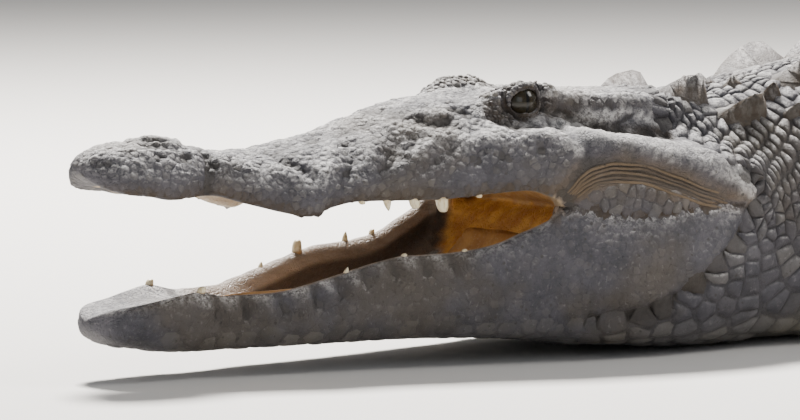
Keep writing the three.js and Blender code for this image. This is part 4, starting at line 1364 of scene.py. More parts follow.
def hornPiece(name, horns, material):
    bm = bmesh.new()
    layer = bm.verts.layers.float.new("along")
    for horn in horns:
        addHorn(bm, layer, *horn)
    return closedPiece(name, bm, material)


def makeTeeth():
    gum, inset = teeth["gum"], teeth["inset"]
    horns = []
    for side, lower in ((-1, "lowerNear"), (1, "lowerFar")):
        upper = [tooth for tooth in teeth["upper"] if side < 0 or tooth[0] >= teeth["farUpperFrom"]]
        for row, width, edge, way, splay in ((upper, halfWidth, lipHeight, -1, 0.06),
                                             (teeth[lower], jawHalfWidth, rimHeight, 1, 0.12)):
            aim = Vector((0, side * splay, way)).normalized()
            for h, length, radius, form in row:
                root = Vector(place(h, side * (width(h) - inset), edge(h) - way * gum))
                horns.append((root, aim, length + gum, radius, Vector((1.5, 0, 0)), form))
    hornPiece("teeth", horns, materials["tooth"])


# clawed toes on each foot, and the claw as shares of its toe
claws = {"toes": 3, "start": 0.9, "lift": 0.66, "length": 0.46, "radius": 0.52}


def makeClaws():
    for side, word in ((-1, "left"), (1, "right")):
        for limb in limbs:
            for i, (root, way, length, radius) in enumerate(toesOf(limb, side)[2][:claws["toes"]]):
                start = root + way * length * claws["start"] + Vector((0, 0, radius * claws["lift"]))
                drop = Vector((0, 0, 0.9 - start.z + 0.12 * radius))
                horn = (start, way, length * claws["length"], radius * claws["radius"], drop, "sharp")
                piece = hornPiece(f"claw_{limb}_{word}_{i + 1}_horn", [horn], materials["claw"])
                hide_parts(f"claw_{limb}_{word}_{i + 1}")


tongue = {
    "start": 112, "end": 392,
    "tip": 45,               # length of its rounded tip
    "rise": 9, "share": 0.62, "thick": 2.5,
    "furrow": 2.2, "furrowWidth": 0.14,
    "lowFrom": 300, "lowOver": 90,      # where the back of the tongue sinks
}


def makeTongue():
    bm = bmesh.new()
    bmesh.ops.create_grid(bm, x_segments=70, y_segments=28, size=1)
    for v in bm.verts:
        h = tongue["start"] + (v.co.x + 1) / 2 * (tongue["end"] - tongue["start"])
        front = math.sqrt(max(0.0, 1 - max(0.0, (tongue["start"] + tongue["tip"] - h) / tongue["tip"]) ** 2))
        wide = max(2.0, (float(jawHalfWidth(h)) - 17) * tongue["share"] * front)
        y = v.co.y * wide
        dome = math.sqrt(max(0.0, 1 - v.co.y**2)) * tongue["rise"] * (0.35 + 0.65 * front)
        back = 1 - min(max((h - tongue["lowFrom"]) / tongue["lowOver"], 0), 1)
        dome *= 0.25 + 0.75 * back
        furrow = tongue["furrow"] * math.exp(-((v.co.y / tongue["furrowWidth"]) ** 2)) * back
        wave = noise.noise(Vector((h * 0.03, y * 0.05, 2.0)))
        v.co = place(h, y, float(floorHeight(h)) - 1.2 + dome - furrow * front + wave)
    bed = bmesh.ops.extrude_face_region(bm, geom=bm.faces[:])["geom"]
    for v in (g for g in bed if isinstance(g, bmesh.types.BMVert)):
        v.co.z -= tongue["thick"]
    piece = closedPiece("tonguePad", bm, materials["tongue"])
    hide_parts("tongue")


makeTeeth()
makeTongue()
makeClaws()
print("eyes, teeth, tongue and claws are in place")


# laying scales
ringH = np.concatenate([np.arange(391, 900, 8.0), np.arange(900, body["tailEnd"], 20.0), [body["tailEnd"]]])
ringShares = np.linspace(0, 1, 121)


def ringTable():
    # half sections from the middle of the back to the middle of the belly, evenly spaced along the skin
    rings, lengths = [], []
    for h in ringH:
        shares = np.linspace(0, 1, 60)
        half = np.vstack([upperHalf(h, shares)[::-1], lowerHalf(h, shares)[1:]])
        length = np.concatenate([[0], np.cumsum(np.linalg.norm(np.diff(half, axis=0), axis=1))])
        rings.append(np.stack([np.interp(ringShares * length[-1], length, half[:, k]) for k in (0, 1)], 1))
        lengths.append(length[-1])
    return np.array(rings), np.array(lengths)


rings, ringLengths = ringTable()


def bodySpot(h, share, side):
    # a point of the body at a station and at a share of the way from back to belly
    row = np.interp(h, ringH, np.arange(len(ringH)))
    column = np.clip(share, 0, 1) * (len(ringShares) - 1)
    i, j = np.minimum(row.astype(int), len(ringH) - 2), np.minimum(column.astype(int), len(ringShares) - 2)
    f, g = (row - i)[:, None], (column - j)[:, None]
    spot = (rings[i, j] * (1 - g) + rings[i, j + 1] * g) * (1 - f)
    spot += (rings[i + 1, j] * (1 - g) + rings[i + 1, j + 1] * g) * f
    return place(h, side * spot[:, 0], spot[:, 1])


def bodyRoots(h, share, side):
    # roots with their outward and tailward directions
    h, share, side = (np.asarray(v, float) for v in (h, share, side))
    spot = bodySpot(h, share, side)
    tailward = bodySpot(h + 6, share, side) - bodySpot(h - 6, share, side)
    low, high = np.minimum(share + 0.012, 1), np.maximum(share - 0.012, 0)
    downward = (bodySpot(h, low, side) - bodySpot(h, high, side)) * side[:, None]
    normal = np.cross(tailward, downward)
    normal /= np.linalg.norm(normal, axis=1)[:, None]
    outward = np.sign(np.sum(normal * (spot - place(h, 0 * h, 0 * h + 100)), axis=1))
    return spot, normal * np.where(outward == 0, 1, outward)[:, None], tailward


def shareAt(h, z):
    # the share at which a section comes down to a height
    row = rings[int(np.argmin(np.abs(ringH - h)))][:, 1]
    return float(np.interp(-z, -np.minimum.accumulate(row), ringShares))


def girthAt(h):
    return np.interp(h, ringH, ringLengths)


def patchOf(spot):
    # a place on an unwrap of the skin: station along it, angle round it, with the legs in bands of their own
    station = spot[:, 0] + body["origin"]
    far = np.abs(spot[:, 1]) > halfWidth(station) + 12
    angle = np.arctan2(spot[:, 2] - 60, spot[:, 1]) / (2 * math.pi) + 0.5
    u = 0.02 + 0.94 * np.clip((station + 20) / 3900, 0, 1)
    v = 0.02 + 0.6 * angle
    band = 0.66 + 0.16 * (spot[:, 1] > 0)
    legV = band + 0.14 * np.clip((np.abs(spot[:, 1]) - 100) / 460, 0, 1)
    return np.stack([u, np.where(far, legV, v)], 1)


def discTemplate(spokes, shares):
    # a flat disc of rings round a middle point, as spoke and ring share for each corner, and its faces
    bm = bmesh.new()
    bmesh.ops.create_circle(bm, cap_ends=True, segments=spokes, radius=1)
    middle = bm.faces[:][0]
    for share in shares[1:]:
        bmesh.ops.inset_individual(bm, faces=[middle], thickness=0.01)
        for v in middle.verts:
            v.co = v.co.normalized() * share
    bmesh.ops.poke(bm, faces=[middle])
    bm.verts.index_update()
    co = np.array([v.co for v in bm.verts])
    faces = [[v.index for v in f.verts] for f in bm.faces]
    if bm.faces[:][0].normal.z < 0:
        faces = [f[::-1] for f in faces]
    bm.free()
    spoke = np.round(np.arctan2(co[:, 1], co[:, 0]) / (2 * math.pi) * spokes).astype(int) % spokes
    return spoke, np.linalg.norm(co[:, :2], axis=1), faces


def spokeFit(roots, across, along, spokes, reach, gap, others=None, squeeze=1.0):
    # each scale runs out to where it meets its neighbours; its spokes aim for the corners between them
    others = roots if others is None else others
    tree = treeOf(others)
    count = min(15, len(others))
    near = np.array([[f[1] for f in tree.find_n(root, count)] for root in roots])[:, 1:]
    offset = others[near] - roots[:, None]
    x, y = np.einsum("mnk,mk->mn", offset, along) * squeeze, np.einsum("mnk,mk->mn", offset, across)
    square = x * x + y * y
    fine = 5
    turns = 2 * math.pi * (np.arange(spokes * fine) - fine // 2) / (spokes * fine)
    lengths = []
    for angle in turns:
        facing = x * squeeze * math.cos(angle) + y * math.sin(angle)
        meets = np.where(facing > 0.05 * np.sqrt(square), square / 2 / np.maximum(facing, 1e-6), 1e9)
        lengths.append(np.minimum(meets.min(axis=1), reach))
    lengths = np.array(lengths).T.reshape(len(roots), spokes, fine)
    best = lengths.argmax(axis=2)
    angles = turns.reshape(spokes, fine)[np.arange(spokes)[None], best]
    return np.maximum(lengths.max(axis=2) - gap, 0.3), angles


scaleForms = {
    # ring shares from rim to middle, and the height of each as a share of the scale's
    "plate": ([1.0, 0.86, 0.5], [-0.5, 0.6, 0.96, 1.0]),
    "bead": ([1.0, 0.78], [-0.4, 0.65, 1.0]),
    "pebble": ([1.0, 0.84, 0.52], [-0.45, 0.4, 0.86, 1.0]),
    "scute": ([1.0, 0.9, 0.62, 0.3], [-0.4, 0.35, 0.7, 0.9, 1.0]),
    "blade": ([1.0, 0.86, 0.62, 0.34, 0.14], [-0.12, 0.2, 0.52, 0.84, 0.96, 1.0]),
}


patchRadius = 0.0015


def layScales(name, roots, normals, tailward, form="plate", spokes=8, height=1.6, reach=30.0, gap=0.5,
              keel=0.0, tilt=0.0, lean=0.0, lengths=None, hug=True, low=0.0, vary=1.0, near=None,
              squeeze=1.0):
    # one solid scale on each root, joined in one piece
    roots, normals = np.asarray(roots, float), np.asarray(normals, float)
    along = tailward - normals * np.sum(tailward * normals, axis=1)[:, None]
    along /= np.linalg.norm(along, axis=1)[:, None]
    across = np.cross(normals, along)
    angles = np.tile(2 * math.pi * np.arange(spokes) / spokes, (len(roots), 1))
    if lengths is None:
        lengths, angles = spokeFit(roots, across, along, spokes, np.asarray(reach, float), gap, near, squeeze)
    shares, heights = scaleForms[form]
    spoke, share, faces = discTemplate(spokes, shares)
    angle = angles[:, spoke]
    flat = lengths[:, spoke] * share
    x, y = flat * np.cos(angle), flat * np.sin(angle)
    longest = lengths.mean(axis=1)[:, None]
    tall = np.broadcast_to(np.asarray(height, float), len(roots))[:, None]
    z = tall * np.interp(-share, -np.array([*shares, 0.0]), heights)
    ridge = (spoke % (spokes // 2) == 0) | (share < 0.01)
    keels = np.broadcast_to(np.asarray(keel, float), len(roots))[:, None]
    z = z + keels * ridge * (1 - share**3) * np.clip(0.80 + 0.36 * x / longest, 0, 1.15)
    z = z + tilt * tall * (x / longest) * (share < 0.97)
    x = x + lean * np.maximum(z, 0)
    spots = roots[:, None] + along[:, None] * x[..., None] + across[:, None] * y[..., None]
    spots = spots.reshape(-1, 3)
    if hug:
        spots = np.array([bodyTree.find_nearest(spot)[0] for spot in spots])
    spots = spots + np.repeat(normals, len(share), axis=0) * z.reshape(-1, 1)
    spots[:, 2] = np.maximum(spots[:, 2], 0.4)
    count, size = len(roots), len(share)
    allFaces = [[corner + i * size for corner in face] for i in range(count) for face in faces]
    mesh = bpy.data.meshes.new(name)
    mesh.from_pydata((spots * metre).tolist(), [], allFaces)
    lookUp(mesh, roots, size)
    # a scale's rim gets a low rise, which paints shade round its edge
    riseThere = np.interp(-share, -np.array([*shares, 0.0]), np.maximum(heights, 0))
    setAttribute(mesh, "rise", np.tile(low + (1 - low) * riseThere, count))
    setAttribute(mesh, "tint", np.repeat(0.5 + vary * (rng.random(count) - 0.5), size))
    patch = np.repeat(patchOf(roots), size, axis=0)
    addPatches(mesh, patch + patchRadius * np.stack([x / longest, y / longest], -1).reshape(-1, 2))
    piece = meshPiece(name, mesh, materials["scales"])
    print(name, count, "scales,", sum(len(f) - 2 for f in faces) * count, "triangles")
    return piece


def lookUp(mesh, roots, size):
    # each scale takes the skin's markings from under its root
    for maskName in ("relief", "rictus", "lip", "pale", "under"):
        values = skinMasks[maskName][[maskTree.find(root)[1] for root in roots]]
        setAttribute(mesh, maskName, np.repeat(values, size))


# neck, trunk and tail scales
scutes = {
    # station, distance out, length, width and height of the big keeled plates behind the head
    "nape": [[550, 38, 54, 32, 21], [593, 63, 52, 30, 19], [684, 42, 84, 46, 23], [744, 36, 56, 38, 17],
             [736, 84, 56, 32, 13], [616, 22, 17, 16, 7], [630, 55, 20, 17, 11], [634, 80, 21, 16, 9],
             [652, 90, 20, 16, 8], [604, 6, 14, 14, 5]],
    "rowPitch": 62, "first": 812, "last": 1888,
    "columns": [24, 72, 119],          # distances out at the widest part of the trunk
    "widest": 247,
    "outerColumn": (930, 1790),        # the stations that the outer column keeps between
    "size": (57, 43), "keel": 8.5, "keelLoss": 0.12,
    "spokes": 12, "height": 3.2, "tilt": 0.15,
}


def scutePlaces():
    places = [[h, side * out, *rest] for side in (-1, 1) for h, out, *rest in scutes["nape"]]
    (length, width), (first, last) = scutes["size"], scutes["outerColumn"]
    h = scutes["first"]
    while h < scutes["last"]:
        spread = 0.52 + 0.48 * float(halfWidth(h)) / scutes["widest"]
        for i, out in enumerate(scutes["columns"]):
            if i == 2 and not first <= h <= last:
                continue
            keel = scutes["keel"] * (1 - scutes["keelLoss"] * i)
            for side in (-1, 1):
                places.append([h + (4 if i == 1 else 0), side * out * spread, length, width * spread, keel])
        h += scutes["rowPitch"]
    return np.array(places)


def clearOfScutes(spots, places, margin=1.0):
    h, out = spots[:, 0], bodySpot(*spots.T)[:, 1]
    covered = np.zeros(len(h), bool)
    for station, middle, length, width, _ in places:
        along, across = (h - station) / (length / 2 + margin), (out - middle) / (width / 2 + margin)
        covered |= along**4 + across**4 < 1
    return spots[~covered]


def straightRows(first, last, pitch):
    return [lambda s, h=h: np.full_like(s, h) for h in np.arange(first, last, pitch)]


def lattice(rows, widths, shares=(0.0, 1.0), stagger=0.5, jitter=0.06):
    # staggered rows round the body; a row gives its station at a share, widths a scale's width there
    grid = np.linspace(0, 1, 200)
    width = curveOf(widths)(grid)
    found = []
    for number, rowAt in enumerate(rows):
        steps = np.concatenate([[0], np.cumsum(girthAt(rowAt(grid).mean()) * np.diff(grid) / width[:-1])])
        for c in np.arange(0.5 - stagger * (number % 2), steps[-1], 1.0):
            share = float(np.interp(c, steps, grid))
            if shares[0] <= share <= shares[1]:
                found.append((float(rowAt(np.array([share]))[0]), share))
    found = np.array(found)
    made = []
    for side in (-1, 1):
        h = found[:, 0] + rng.normal(0, jitter, len(found)) * 12
        share = found[:, 1] + rng.normal(0, jitter, len(found)) * 12 / girthAt(600)
        keep = (share > 0.004) | (side > 0)
        made.append(np.column_stack([h, np.clip(share, 0, 1), np.full(len(found), side)])[keep])
    return np.vstack(made)


def inLeg(root):
    # true where the legs' skin covers the body's own
    return bodyTree.find_nearest(Vector(root))[3] > legShape["clear"]


def layOnBody(name, spots, height, **look):
    # scales on every spot that no leg covers
    roots, normals, tailward = bodyRoots(*spots.T)
    clear = ~np.array([inLeg(root) for root in roots])
    tall = np.broadcast_to(height, len(roots))[clear]
    layScales(name, roots[clear], normals[clear], tailward[clear], height=tall, **look)


# In these curves x is the share of the way from back to belly, and on the tail a station.
neckScales = {
    "last": 808,
    "front": (1.0, 402),           # where the first row crosses the middle of the throat
    "middle": 0.5,                 # where narrow folds give way to broad plates
    "foldRows": (26, 1.2), "plateRows": (16, 1.35),        # count, and the power that draws them forwards
    "foldWidth": [(0, 7.6), (0.14, 8), (0.22, 12.5), (0.36, 14), (0.44, 12), (0.5, 13)],
    "plateWidth": [(0.5, 17), (0.62, 19), (0.8, 21), (1, 20)],
    "height": [(0, 3.2), (0.2, 3.2), (0.35, 3.4), (0.48, 3.2), (0.6, 2.8), (1, 2.0)],
    "foldSqueeze": 1.7, "plateSqueeze": 0.9,
    "look": {"form": "pebble", "reach": 16, "gap": 0.2, "spokes": 9, "tilt": 0.2, "vary": 0.45},
}


def layNeck(places):
    # narrow rows high on the neck, broad flat ones low down; all start where the head's skin ends
    given = neckScales
    front = curveOf([(shareAt(h, z), h) for h, z in neckFront] + [given["front"]])
    last, middle = given["last"], given["middle"]

    def rowsFor(steps, power):
        ways = [(k / steps) ** power for k in np.arange(0.45, steps)]
        return [lambda s, t=t: front(s) + (last - front(s)) * t for t in ways]

    folds = lattice(rowsFor(*given["foldRows"]), given["foldWidth"], (0, middle), jitter=0.07)
    plates = lattice(rowsFor(*given["plateRows"]), given["plateWidth"], (middle + 0.012, 1), jitter=0.07)
    both = clearOfScutes(np.vstack([folds, plates]), places)
    roots, normals, tailward = bodyRoots(*both.T)
    tall = curveOf(given["height"])(both[:, 1]) * rng.uniform(0.75, 1.25, len(both))
    high = both[:, 1] < middle
    for name, part, squeeze in (("neckFolds", high, "foldSqueeze"), ("throatPlates", ~high, "plateSqueeze")):
        layScales(name, roots[part], normals[part], tailward[part], height=tall[part], near=roots,
                  squeeze=given[squeeze], **given["look"])


trunkBands = {
    # first row and row spacing, widths, and the shares between which the band lies
    "top": ((812, 15.5), [(0, 12.5), (1, 13)], (0, 0.36)),
    "flank": ((814, 20.7), [(0, 17), (0.36, 17), (0.6, 20), (1, 22)], (0.372, 0.655)),
    "belly": ((816, 27.0), [(0, 25), (1, 25)], (0.67, 1.0)),
    "last": 1912,
    "height": [(0, 2.2), (0.34, 2.4), (0.4, 3.6), (0.66, 2.6)], "bellyHeight": 1.7,
}
tailRings = {
    "rows": (1920, 3772, 29.0),
    "aroundHalf": 9.5, "leastWidth": 5.5, "mostWidth": 24,
    "height": [(1900, 3.2), (3000, 2.2), (3770, 1.0)],
}


def bandOf(name, **spread):
    (first, pitch), widths, shares = trunkBands[name]
    return lattice(straightRows(first, trunkBands["last"], pitch), widths, shares, **spread)


def layTrunk(places):
    small, middle = bandOf("top"), bandOf("flank")
    upper = np.vstack([clearOfScutes(small, places, 0.0), middle])
    tall = curveOf(trunkBands["height"])(upper[:, 1]) * rng.uniform(0.75, 1.25, len(upper))
    layOnBody("trunkScales", upper, tall, reach=17, gap=0.7, tilt=0.25, vary=0.7)
    belly = bandOf("belly", jitter=0.02)
    layOnBody("bellyScales", belly, trunkBands["bellyHeight"], reach=20, gap=0.6, vary=0.4)


def layTail():
    given = tailRings
    made = []
    for row in straightRows(*given["rows"]):
        girth = float(girthAt(row(np.array([0.0]))[0]))
        width = max(given["leastWidth"], min(given["mostWidth"], girth / given["aroundHalf"]))
        made.append(lattice([row], [(0, width), (1, width)], stagger=0, jitter=0.015))
    spots = np.vstack(made)
    tall = curveOf(given["height"])(spots[:, 0]) * rng.uniform(0.85, 1.15, len(spots))
    layOnBody("tailScales", spots, tall, reach=19, gap=0.6, tilt=0.3, vary=0.5)


def layScutes(places):
    h, out = places[:, 0], places[:, 1]
    share = np.array([np.interp(abs(y), rings[int(np.argmin(np.abs(ringH - s)))][:30, 0], ringShares[:30])
                      for s, y in zip(h, out)])
    angle = 2 * math.pi * np.arange(scutes["spokes"]) / scutes["spokes"]
    long, wide = places[:, 2:3] / 2, places[:, 3:4] / 2
    lengths = (np.abs(np.cos(angle) / long) ** 3 + np.abs(np.sin(angle) / wide) ** 3) ** (-1 / 3)
    piece = layScales("backScutes", *bodyRoots(h, share, np.where(out < 0, -1, 1)), form="scute",
                      spokes=scutes["spokes"], height=scutes["height"], keel=places[:, 4], lengths=lengths,
                      tilt=scutes["tilt"])
    # brown on the plates, weakened on their tops: their own dark brown, with painted shade on the sides
    rise = np.array([v.value for v in piece.data.attributes["rise"].data])
    setAttribute(piece.data, "lip", np.where(rise > 0.3, 1.0, 0.3))


crest = {
    "height": [[2060, 8], [2200, 20], [2500, 38], [2800, 46], [3200, 36], [3600, 20], [3790, 7]],
    "split": [[2060, 32], [2300, 24], [2600, 13], [2780, 0]],
    "start": 2060, "join": 2780, "pitch": 58, "spokes": 12,
    "thickness": 3.4, "splay": 0.16, "lean": 0.42,
}


def layCrest():
    tallAt, splitAt = curveThrough(crest["height"]), curveThrough(crest["split"])
    blades = []
    h = crest["start"]
    while h < body["tailEnd"] - 6:
        pitch = min(crest["pitch"], body["tailEnd"] - h)
        middle = h + pitch * 0.52
        for side in ((-1, 1) if h < crest["join"] - 10 else (0,)):
            blades.append((middle, side * float(splitAt(middle)), pitch, float(tallAt(h + pitch * 0.86))))
        h += crest["pitch"]
    h, out, pitch, tall = np.array(blades).T
    roots = place(h, out, topHeight(h) - coatDepth(h) - 1.5)
    tailward = place(h + 4, out, topHeight(h + 4)) - place(h - 4, out, topHeight(h - 4))
    normals = np.tile([0.0, 0.0, 1.0], (len(h), 1))
    normals[:, 1] = np.sign(out) * crest["splay"]
    normals /= np.linalg.norm(normals, axis=1)[:, None]
    angle = 2 * math.pi * np.arange(crest["spokes"]) / crest["spokes"]
    long, wide = (pitch * 0.53)[:, None], (crest["thickness"] + tall * 0.13)[:, None]
    lengths = ((np.cos(angle) / long) ** 2 + (np.sin(angle) / wide) ** 2) ** -0.5
    layScales("tailCrest", roots, normals, tailward, form="blade", spokes=crest["spokes"], height=tall * 0.97,
              lengths=lengths, hug=False, lean=crest["lean"])


# small scales on head and legs
scatterTries = 9        # points tried for each that could fit


def scatter(spacingAt, keep):
    # roots spread over the skin at about the spacing wanted there, with the skin's own directions
    corners = skinTriangles
    a, b, c = (skinSpots[corners[:, k]] for k in range(3))
    middle = (a + b + c) / 3
    spacing = spacingAt(middle)
    wanted = keep(middle, corners)
    area = np.linalg.norm(np.cross(b - a, c - a), axis=1) / 2
    density = np.where(wanted, area / spacing**2, 0)
    count = int(density.sum() * scatterTries)
    pick = rng.choice(len(corners), size=count, p=density / density.sum())
    u, v = rng.random(count), rng.random(count)
    u, v = np.where(u + v > 1, 1 - u, u), np.where(u + v > 1, 1 - v, v)
    spots = a[pick] + (b[pick] - a[pick]) * u[:, None] + (c[pick] - a[pick]) * v[:, None]
    normals = sum(skinNormals[corners[pick, k]] for k in range(3))
    normals /= np.linalg.norm(normals, axis=1)[:, None]
    cell = spacing[pick].max()
    taken = {}
    kept = []
    for i in range(count):
        spot, gap = spots[i], spacing[pick[i]]
        key = tuple((spot // cell).astype(int))
        close = (other for dx in (-1, 0, 1) for dy in (-1, 0, 1) for dz in (-1, 0, 1)
                 for other in taken.get((key[0] + dx, key[1] + dy, key[2] + dz), ()))
        x, y, z = spot
        if all((x - o[0]) ** 2 + (y - o[1]) ** 2 + (z - o[2]) ** 2 > gap * gap for o in close):
            taken.setdefault(key, []).append(spot)
            kept.append(i)
    kept = np.array(kept)
    return spots[kept], normals[kept], spacing[pick[kept]]


limbScales = {
    # station and distance out of the feet, and spacing by distance from them
    "foreFoot": (860, 385), "hindFoot": (1800, 440),
    "spacing": [(30, 7.0), (110, 10), (220, 15.5)],
    "height": 0.19, "lowest": 1.1, "highest": 2.6,       # share of the spacing and its limits
    "look": {"spokes": 7, "gap": 0.5, "reach": 12, "tilt": 0.3},
}


def spacingOfLimb(middle):
    # legs carry smaller scales towards the toes
    away = [np.hypot(middle[:, 0] + body["origin"] - h, np.abs(middle[:, 1]) - out)
            for h, out in (limbScales["foreFoot"], limbScales["hindFoot"])]
    return curveOf(limbScales["spacing"])(np.minimum(*away))


def layLimbs():
    for name, isFront, lean in (("foreLimbScales", True, -0.2), ("hindLimbScales", False, 0.3)):
        def onLimb(middle, corners, isFront=isFront):
            leg = (skinMasks["leg"][corners].mean(axis=1) > 0.5) & (middle[:, 2] > 3)
            return leg & ((middle[:, 0] < 0) == isFront)

        roots, normals, spacing = scatter(spacingOfLimb, onLimb)
        count = len(roots)
        down = np.column_stack([np.full(count, lean), np.sign(roots[:, 1]), np.full(count, -0.7)])
        height = np.clip(spacing * limbScales["height"], limbScales["lowest"], limbScales["highest"])
        layScales(name, roots, normals, down, height=height, **limbScales["look"])


def evenly(spacing):
    return lambda middle: np.full(len(middle), spacing)


def backward(roots):
    return np.tile([1.0, 0.0, 0.0], (len(roots), 1))


def headSpots(middle):
    station, height = middle[:, 0] + body["origin"], middle[:, 2]
    return station, np.abs(middle[:, 1]), height


def clearOfEye(station, height):
    return np.hypot(station - eyeSpot["station"], height - eyeSpot["height"]) > 21


def onCheek(station, height):
    # the panel of cracked scales between the folds at the corner of the mouth and the jaw's upper crease
    inside = (station > 402) & (station < 540) & (height < lineAt(rictusLine, station))
    inside &= height > lineAt(jawTopLine, station) + 2
    belowFolds = lineDistance(np.stack([station, height], 1), rictusLine)
    return inside & (belowFolds > 17 * smoothStep(560, 480, station) + 2)


def onCheekBone(station, height):
    # bare skin: the cheek bone, the ear flap and the folds
    return (station > 392) & (height < 203) & (height > lineAt(jawTopLine, station) - 1)


headScales = {
    # spacing, height, reach, form, spokes, least rise for the markings, variation of tint
    "jawScales": (5.4, 0.11, 5.5, "bead", 7, 0.85, 0.18),
    "throatScales": (11.0, 0.8, 12, "plate", 8, 0.1, 0.35),
    "snoutScales": (5.0, 0.42, 5, "bead", 7, 0.5, 0.35),
    "cheekScales": (6.6, 0.8, 8, "plate", 8, 0.1, 0.35),
}


def onJaw(station, out, height, corners):
    crease = lineAt(jawTopLine, station) - 2.2
    below = np.where(station < body["mouthCorner"], rimHeight(station) - 13, crease)
    front = (station > 6) & (station < frontOfNeck(height) - 6)
    return front & (height < below) & (height > 30) & (out > 0.3 * halfWidth(station))


def onThroat(station, out, height, corners):
    return (station > 12) & (station < frontOfNeck(height) - 4) & (height <= 30)


def onSnout(station, out, height, corners):
    edge = lipHeight(station) + 4 - 18 * (station < 34)
    above = height > np.where(station < body["mouthCorner"], edge, 118)
    front = station < np.minimum(frontOfNeck(height) - 6, 520)
    bare = (~clearOfEye(station, height) & (out >= 30)) | (onCheekBone(station, height) & (out > 50))
    return above & front & ~bare & (skinSpots[corners][..., 2].mean(axis=1) > 100)


def onPanel(station, out, height, corners):
    return onCheek(station, height) & (out > 60) & (station < frontOfNeck(height) - 6)


def layHead():
    for (name, given), where in zip(headScales.items(), (onJaw, onThroat, onSnout, onPanel)):
        def area(middle, corners, where=where):
            outside = skinMasks["lining"][corners].max(axis=1) < 0.3
            return outside & where(*headSpots(middle), corners)

        spacing, height, reach, form, spokes, low, vary = given
        roots, normals, _ = scatter(evenly(spacing), area)
        height = height * rng.uniform(0.5, 1.5, len(roots))
        layScales(name, roots, normals, backward(roots), form=form, spokes=spokes, height=height, reach=reach,
                  gap=0.25, low=low, vary=vary)


eyeBeads = {
    # share of the lid's size, first and last angle in degrees, count, bead radius, how brown
    "rows": [(1.17, 5, 176, 22, 1.6, 0.45), (1.42, 12, 170, 20, 2.2, 0.25), (1.66, 25, 160, 17, 2.3, 0.15),
             (1.16, 188, 350, 20, 1.0, 0.9), (1.36, 195, 345, 20, 1.2, 0.8)],
    "tilt": 0.105,
    "spokes": 8, "height": 0.8,
    "aimFrom": 56,          # distance out from which a bead's place on the lid is found
}
# grains in the corner in front of the eye, and round knobs on the brow: spacing and how brown
browBeads = {"lidGrains": (2.7, 0.75), "browKnobs": (4.4, 0.4)}


def layLidBeads():
    # rows of beads round the lids
    given = eyeBeads
    roots, sizes, brown = [], [], []
    c, s = math.cos(given["tilt"]), math.sin(given["tilt"])
    for share, first, last, count, radius, brownness in given["rows"]:
        for angle in np.radians(np.linspace(first, last, count)):
            u = math.cos(angle) * share * eyeSpot["openWide"]
            v = math.sin(angle) * share * eyeSpot["openHigh"] + eyeLids["lift"]
            station, height = eyeSpot["station"] + u * c - v * s, eyeSpot["height"] + u * s + v * c
            for side in (-1, 1):
                aim = Vector((station - body["origin"], side * given["aimFrom"], height))
                spot, normal, _, _ = bodyTree.find_nearest(aim)
                roots.append((*spot, *normal))
                sizes.append(radius * rng.uniform(0.8, 1.2))
                brown.append(brownness)
    roots, sizes = np.array(roots), np.array(sizes)
    lengths = np.repeat(sizes[:, None], given["spokes"], axis=1)
    lengths = lengths * rng.uniform(0.85, 1.1, (len(sizes), given["spokes"]))
    piece = layScales("lidBeads", roots[:, :3], roots[:, 3:], backward(roots), form="pebble", lengths=lengths,
                      spokes=given["spokes"], height=sizes * given["height"], hug=False, low=0.35)
    setAttribute(piece.data, "lip", np.repeat(brown, len(piece.data.vertices) // len(roots)))


def inEyeCorner(middle, corners):
    station, out, height = headSpots(middle)
    corner = np.hypot((station - 353) / 13, (height - 199) / 8.5) < 1
    clear = np.hypot((station - eyeSpot["station"]) / 21, (height - eyeSpot["height"]) / 15) > 1
    return corner & clear & (out > 36)


def onBrow(middle, corners):
    station, out, height = headSpots(middle)
    up = skinNormals[corners].mean(axis=1)[:, 2] > 0.35
    return up & (station > 350) & (station < 412) & (out > 36) & (height > 211)


def layBrowBeads():
    for (name, (spacing, brownness)), where in zip(browBeads.items(), (inEyeCorner, onBrow)):
        roots, normals, _ = scatter(evenly(spacing), where)
        tall = spacing * 0.36 * rng.uniform(0.7, 1.3, len(roots))
        piece = layScales(name, roots, normals, backward(roots), form="pebble", spokes=8, height=tall,
                          reach=spacing, gap=0.15, low=0.3)
        setAttribute(piece.data, "lip", np.full(len(piece.data.vertices), brownness))


rictusFolds = {
    "count": 5, "first": 1.5, "pitch": 3.7, "halfWidth": 2.0, "rise": 1.25, "taper": 0.6, "fade": 1.6,
    "points": 150,
    # offset and height across a fold, as shares
    "profile": [(-1.0, -0.6), (-0.72, 0.25), (-0.35, 0.85), (0, 1.0), (0.35, 0.85), (0.72, 0.25),
                (1.0, -0.6)],
}


def smoothLine(line, count):
    # evenly spaced points on a smooth curve through the line's points
    line = np.array(line, float)
    length = np.concatenate([[0], np.cumsum(np.linalg.norm(np.diff(line, axis=0), axis=1))])
    along = np.linspace(0, length[-1], count)
    return np.stack([curveThrough(np.column_stack([length, line[:, k]]))(along) for k in (0, 1)], 1)


def skinBeside(h, side, z):
    # the skin met from outside at a station and height
    start = Vector((h - body["origin"], side * 190, z))
    spot, normal, _, _ = bodyTree.ray_cast(start, Vector((0, -side, 0)), 150)
    if spot is None:
        spot, normal, _, _ = bodyTree.find_nearest(start + Vector((0, -side * 100, 0)))
    return spot, normal


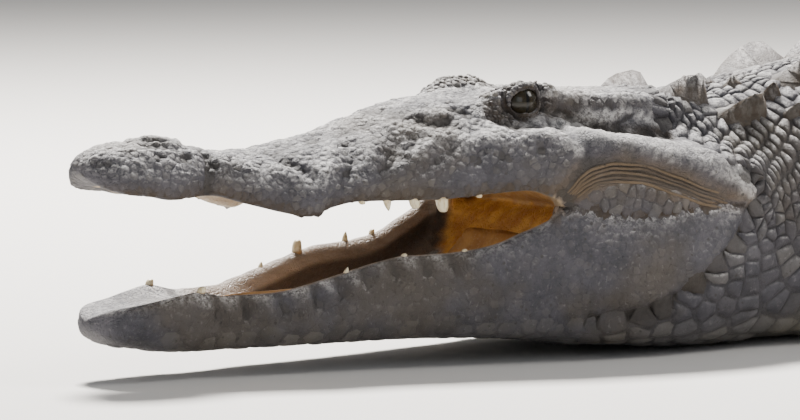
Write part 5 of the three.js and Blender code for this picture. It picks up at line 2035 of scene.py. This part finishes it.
def addFold(bm, relief, side, fold):
    given = rictusFolds
    count, profile = given["points"], given["profile"]
    line = offsetLine(smoothLine(rictusLine, count), given["first"] + fold * given["pitch"], given["taper"])
    share = np.linspace(0, 1, count)
    ends = smoothStep(0, 0.12, share) * smoothStep(1, 0.74 + 0.05 * (fold % 3), share)
    beside = besideOf(line)
    grid = bmesh.ops.create_grid(bm, x_segments=count - 1, y_segments=len(profile) - 1, size=1)
    for k, vert in enumerate(grid["verts"]):
        i, (offset, rise) = k % count, profile[k // count]
        wobble = noise.noise(Vector((line[i, 0] * 0.045, fold * 3.1, side)))
        h, z = line[i] + beside[i] * (offset * given["halfWidth"] * (0.4 + 0.6 * ends[i]) + 1.3 * wobble)
        spot, normal = skinBeside(h, side, z)
        high = rise * given["rise"] * ends[i] * (1 + 0.5 * wobble) - given["fade"] * (1 - ends[i])
        vert.co = spot + normal * high
        shade = noise.noise(Vector((line[i, 0] * 0.03, fold * 5.3, 7.7)))
        # low relief at the fold's edges paints shade in the furrows; the crest's lighter relief is partly
        # painted highlight
        vert[relief] = -0.75 + max(rise, 0) * (0.72 - 0.2 * (fold % 2) + 0.55 * shade)


def layRictusFolds():
    # long soft ridges side by side, which draw together at the corner of the mouth
    bm = bmesh.new()
    relief = bm.verts.layers.float.new("relief")
    for side in (-1, 1):
        for fold in range(rictusFolds["count"]):
            addFold(bm, relief, side, fold)
    bmesh.ops.recalc_face_normals(bm, faces=bm.faces)
    for face in bm.faces:
        if face.normal.y * face.calc_center_median().y < 0:
            face.normal_flip()
    mesh = meshFrom(bm, "rictusFolds")
    spots = positionsOf(mesh)
    for name, value in (("rictus", 0.9), ("rise", 0.6), ("tint", 0.5)):
        setAttribute(mesh, name, np.full(len(spots), value))
    addPatches(mesh, patchOf(spots) * (1, 0.2))
    setPositions(mesh, spots * metre)
    meshPiece("rictusFolds", mesh, materials["scales"])


platePlaces = scutePlaces()
layScutes(platePlaces)
layNeck(platePlaces)
layTrunk(platePlaces)
layTail()
layCrest()
print("body scales are laid")
layLimbs()
layHead()
layLidBeads()
layBrowBeads()
layRictusFolds()
print("head and limb scales are laid")
